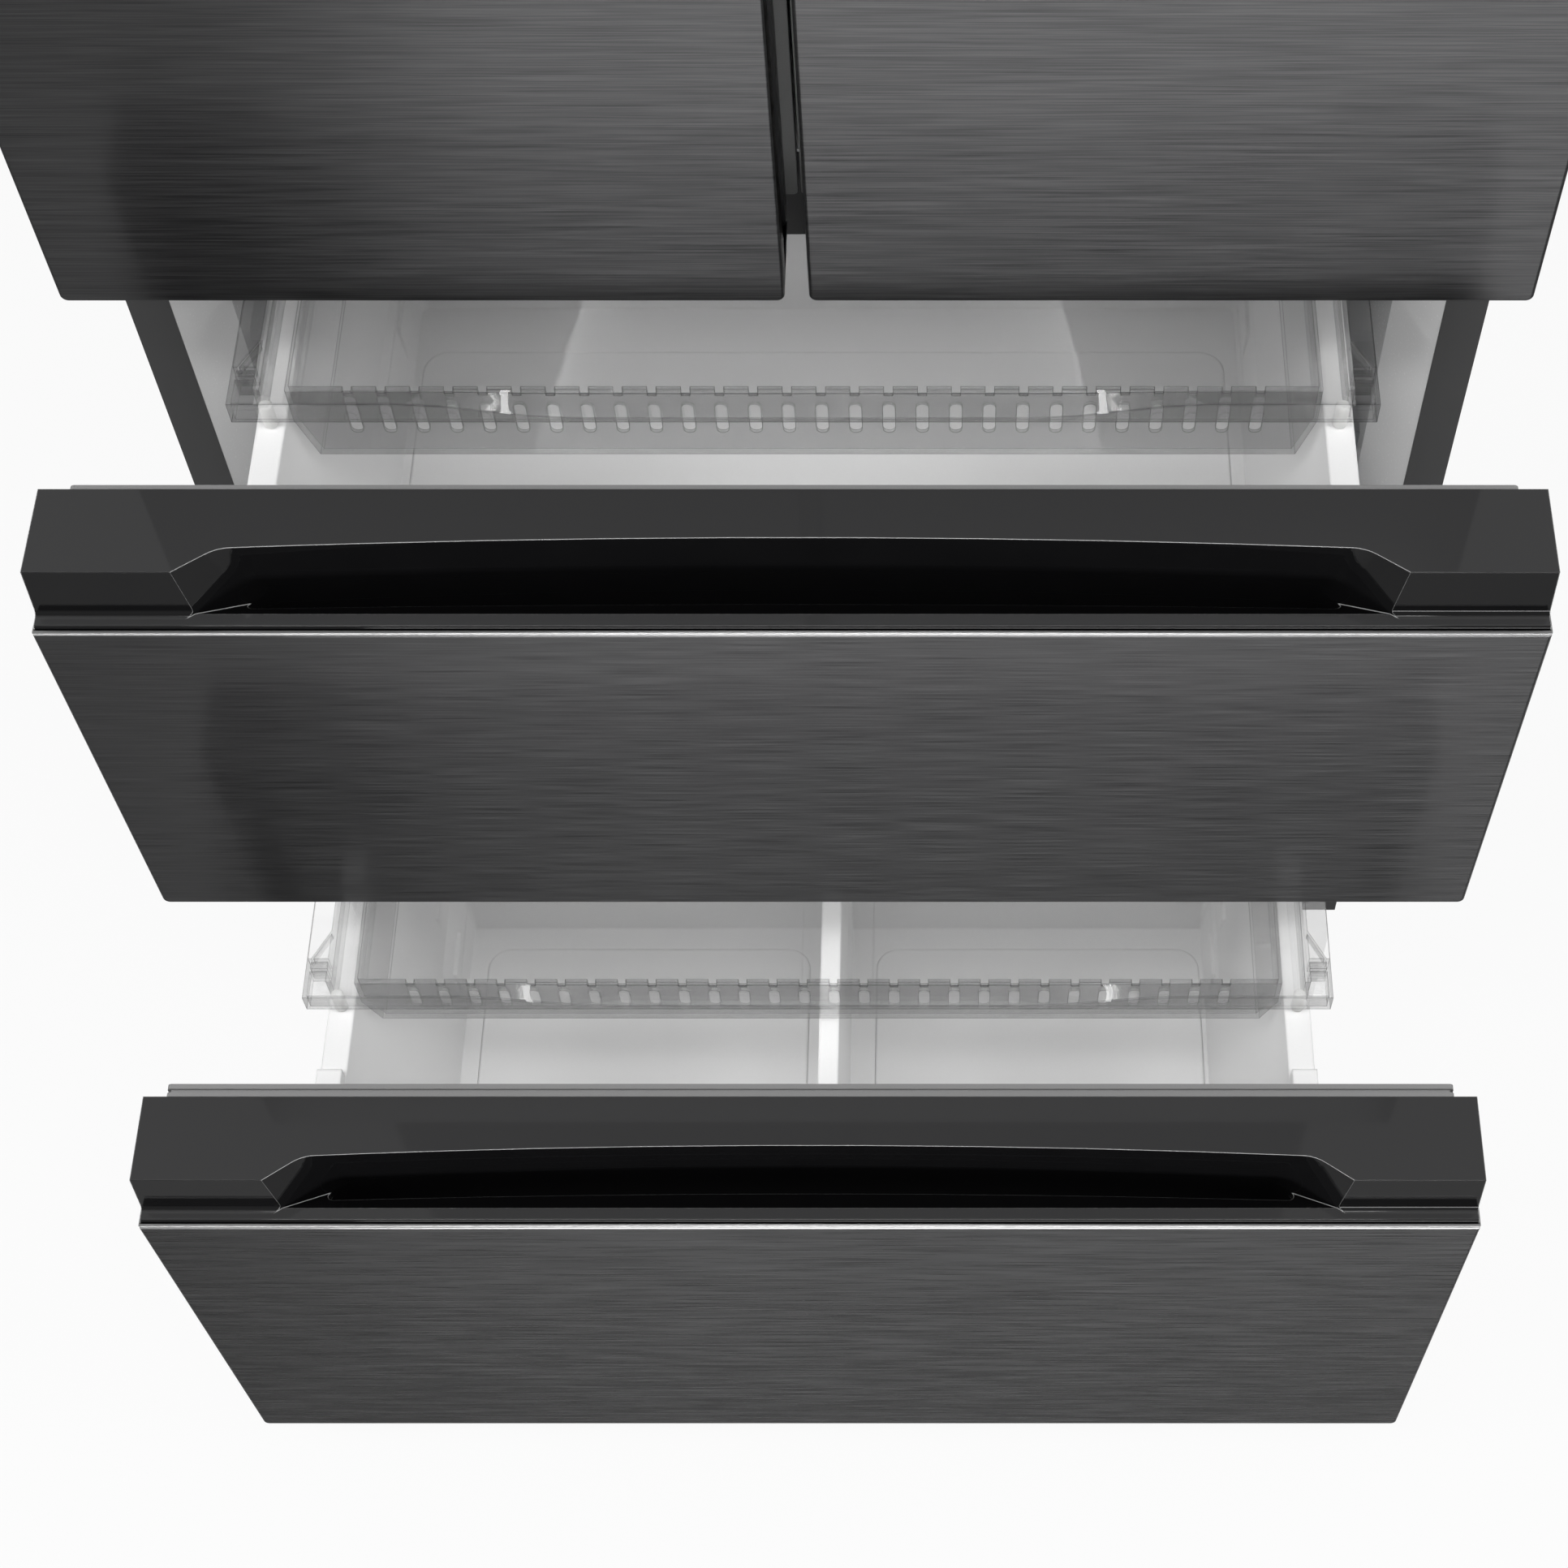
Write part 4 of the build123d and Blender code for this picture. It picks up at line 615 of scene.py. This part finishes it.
links.new(fine_strokes, skin.inputs["Height"])
links.new(skin.outputs["Normal"], steel.inputs["Normal"])
# Painted highlight: thin bands along the top fold and both ends get a brighter base colour.
spot = nodes.new("ShaderNodeSeparateXYZ")
links.new(place.outputs["Generated"], spot.inputs[0])
fold_highlight = nodes.new("ShaderNodeMapRange")
fold_highlight.inputs["From Min"].default_value = fold_highlight_from
fold_highlight.inputs["From Max"].default_value = fold_highlight_full
links.new(spot.outputs["Z"], fold_highlight.inputs["Value"])
from_middle = nodes.new("ShaderNodeMath")
from_middle.operation = "SUBTRACT"
from_middle.inputs[1].default_value = 0.5
links.new(spot.outputs["X"], from_middle.inputs[0])
outward = nodes.new("ShaderNodeMath")
outward.operation = "ABSOLUTE"
links.new(from_middle.outputs[0], outward.inputs[0])
end_highlight = nodes.new("ShaderNodeMapRange")
end_highlight.inputs["From Min"].default_value = end_highlight_from
end_highlight.inputs["From Max"].default_value = end_highlight_full
end_highlight.inputs["To Max"].default_value = end_highlight_share
links.new(outward.outputs[0], end_highlight.inputs["Value"])
highlight_reach = nodes.new("ShaderNodeMath")
highlight_reach.operation = "MAXIMUM"
links.new(fold_highlight.outputs["Result"], highlight_reach.inputs[0])
links.new(end_highlight.outputs["Result"], highlight_reach.inputs[1])
highlight_mix = nodes.new("ShaderNodeMix")
highlight_mix.data_type = "RGBA"
links.new(highlight_reach.outputs[0], highlight_mix.inputs["Factor"])
links.new(tint.outputs["Result"], highlight_mix.inputs["A"])
highlight_mix.inputs["B"].default_value = steel_highlight
links.new(highlight_mix.outputs["Result"], steel.inputs["Base Color"])
wear(
    dark_steel,
    "left_door_panel",
    "right_door_panel",
    "upper_drawer_panel",
    "lower_drawer_panel",
)

# Tray glides: small white acetal pegs snapped under the front corners of each clear tray.
# They carry the tray's front on the bin's rim.
glide_radius = 0.0047
glide_round = 0.0012
glide_across = 0.3494
glide_setback = 0.0075
glide_reach_up = 0.021
glide_lift = 0.0004
glide_sides = 24
glide_crease = 50.0
rail_below_rim = 0.030
acetal = coated(
    "white_acetal",
    ((0.74, 0.74, 0.73), (0.78, 0.78, 0.77)),
    (0.28, 0.36),
    0.0008,
    relief=0.00001,
)


def glide(name, centre, low, high, body):
    """Upright round peg with chamfered rims, riding on a body."""
    profile = (
        (glide_radius - glide_round, low),
        (glide_radius, low + glide_round),
        (glide_radius, high - glide_round),
        (glide_radius - glide_round, high),
    )
    mesh = bpy.data.meshes.new(name)
    shape = bmesh.new()
    rings = []
    for r, z in profile:
        rings.append([
            shape.verts.new((
                centre[0] + r * math.cos(2 * math.pi * i / glide_sides),
                centre[1] + r * math.sin(2 * math.pi * i / glide_sides),
                z,
            ))
            for i in range(glide_sides)
        ])
    for below, above in zip(rings, rings[1:]):
        for i in range(glide_sides):
            j = (i + 1) % glide_sides
            shape.faces.new((below[i], below[j], above[j], above[i]))
    shape.faces.new(list(reversed(rings[0])))
    shape.faces.new(rings[-1])
    shape.to_mesh(mesh)
    shape.free()
    mesh.shade_smooth()
    mesh.materials.append(acetal)
    piece = bpy.data.objects.new(name, mesh)
    bpy.context.scene.collection.objects.link(piece)
    rims = piece.modifiers.new("crisp_rims", "EDGE_SPLIT")
    rims.split_angle = math.radians(glide_crease)
    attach(piece, body)


for storey in ("upper", "lower"):
    tray_low, tray_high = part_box(f"{storey}_tray")
    rail_top = tray_high[2] - rail_below_rim
    for side, word in ((-1, "left"), (1, "right")):
        glide(
            f"{storey}_tray_glide_{word}",
            (side * glide_across, tray_low[1] + glide_setback),
            rail_top + glide_lift,
            rail_top + glide_reach_up,
            f"{storey}_tray",
        )

# Floor pads: shallow raised panels moulded in the bins' floors, one in the upper bin and one on
# each side of the lower bin's divider. They stiffen the floor and keep packs off wet corners.
pad_rise = 0.0010
pad_slope = 0.0020
pad_sunk = 0.0004
pad_corner = 0.020
pad_corner_steps = 6
upper_pad_x = (-0.313, 0.309)
upper_pad_y = (-0.225, 0.110)
upper_floor = 0.548
left_pad_x = (-0.300, -0.022)
right_pad_x = (0.033, 0.311)
lower_pad_y = (-0.440, -0.180)
lower_floor = 0.103


def floor_pad(name, x, y, floor, body):
    """Raised rounded panel between two x and two y on a floor, with sloped sides."""
    mesh = bpy.data.meshes.new(name)
    shape = bmesh.new()
    rings = []
    for shrink, z in ((0.0, floor - pad_sunk), (pad_slope, floor + pad_rise)):
        reach = pad_corner - shrink
        ring = []
        for corner in range(4):
            sx = (1, -1, -1, 1)[corner]
            sy = (1, 1, -1, -1)[corner]
            cx = (x[1] if sx > 0 else x[0]) - sx * pad_corner
            cy = (y[1] if sy > 0 else y[0]) - sy * pad_corner
            for step in range(pad_corner_steps + 1):
                angle = math.pi / 2 * (corner + step / pad_corner_steps)
                rim_x = cx + reach * math.cos(angle)
                rim_y = cy + reach * math.sin(angle)
                ring.append(shape.verts.new((rim_x, rim_y, z)))
        rings.append(ring)
    count = len(rings[0])
    for i in range(count):
        j = (i + 1) % count
        shape.faces.new((rings[0][i], rings[0][j], rings[1][j], rings[1][i]))
    shape.faces.new(rings[1])
    shape.faces.new(list(reversed(rings[0])))
    shape.to_mesh(mesh)
    shape.free()
    mesh.materials.append(moulded_white)
    piece = bpy.data.objects.new(name, mesh)
    bpy.context.scene.collection.objects.link(piece)
    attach(piece, body)


floor_pad("upper_bin_floor_pad", upper_pad_x, upper_pad_y, upper_floor, "upper_drawer")
floor_pad("lower_bin_floor_pad_left", left_pad_x, lower_pad_y, lower_floor, "lower_drawer")
floor_pad("lower_bin_floor_pad_right", right_pad_x, lower_pad_y, lower_floor, "lower_drawer")
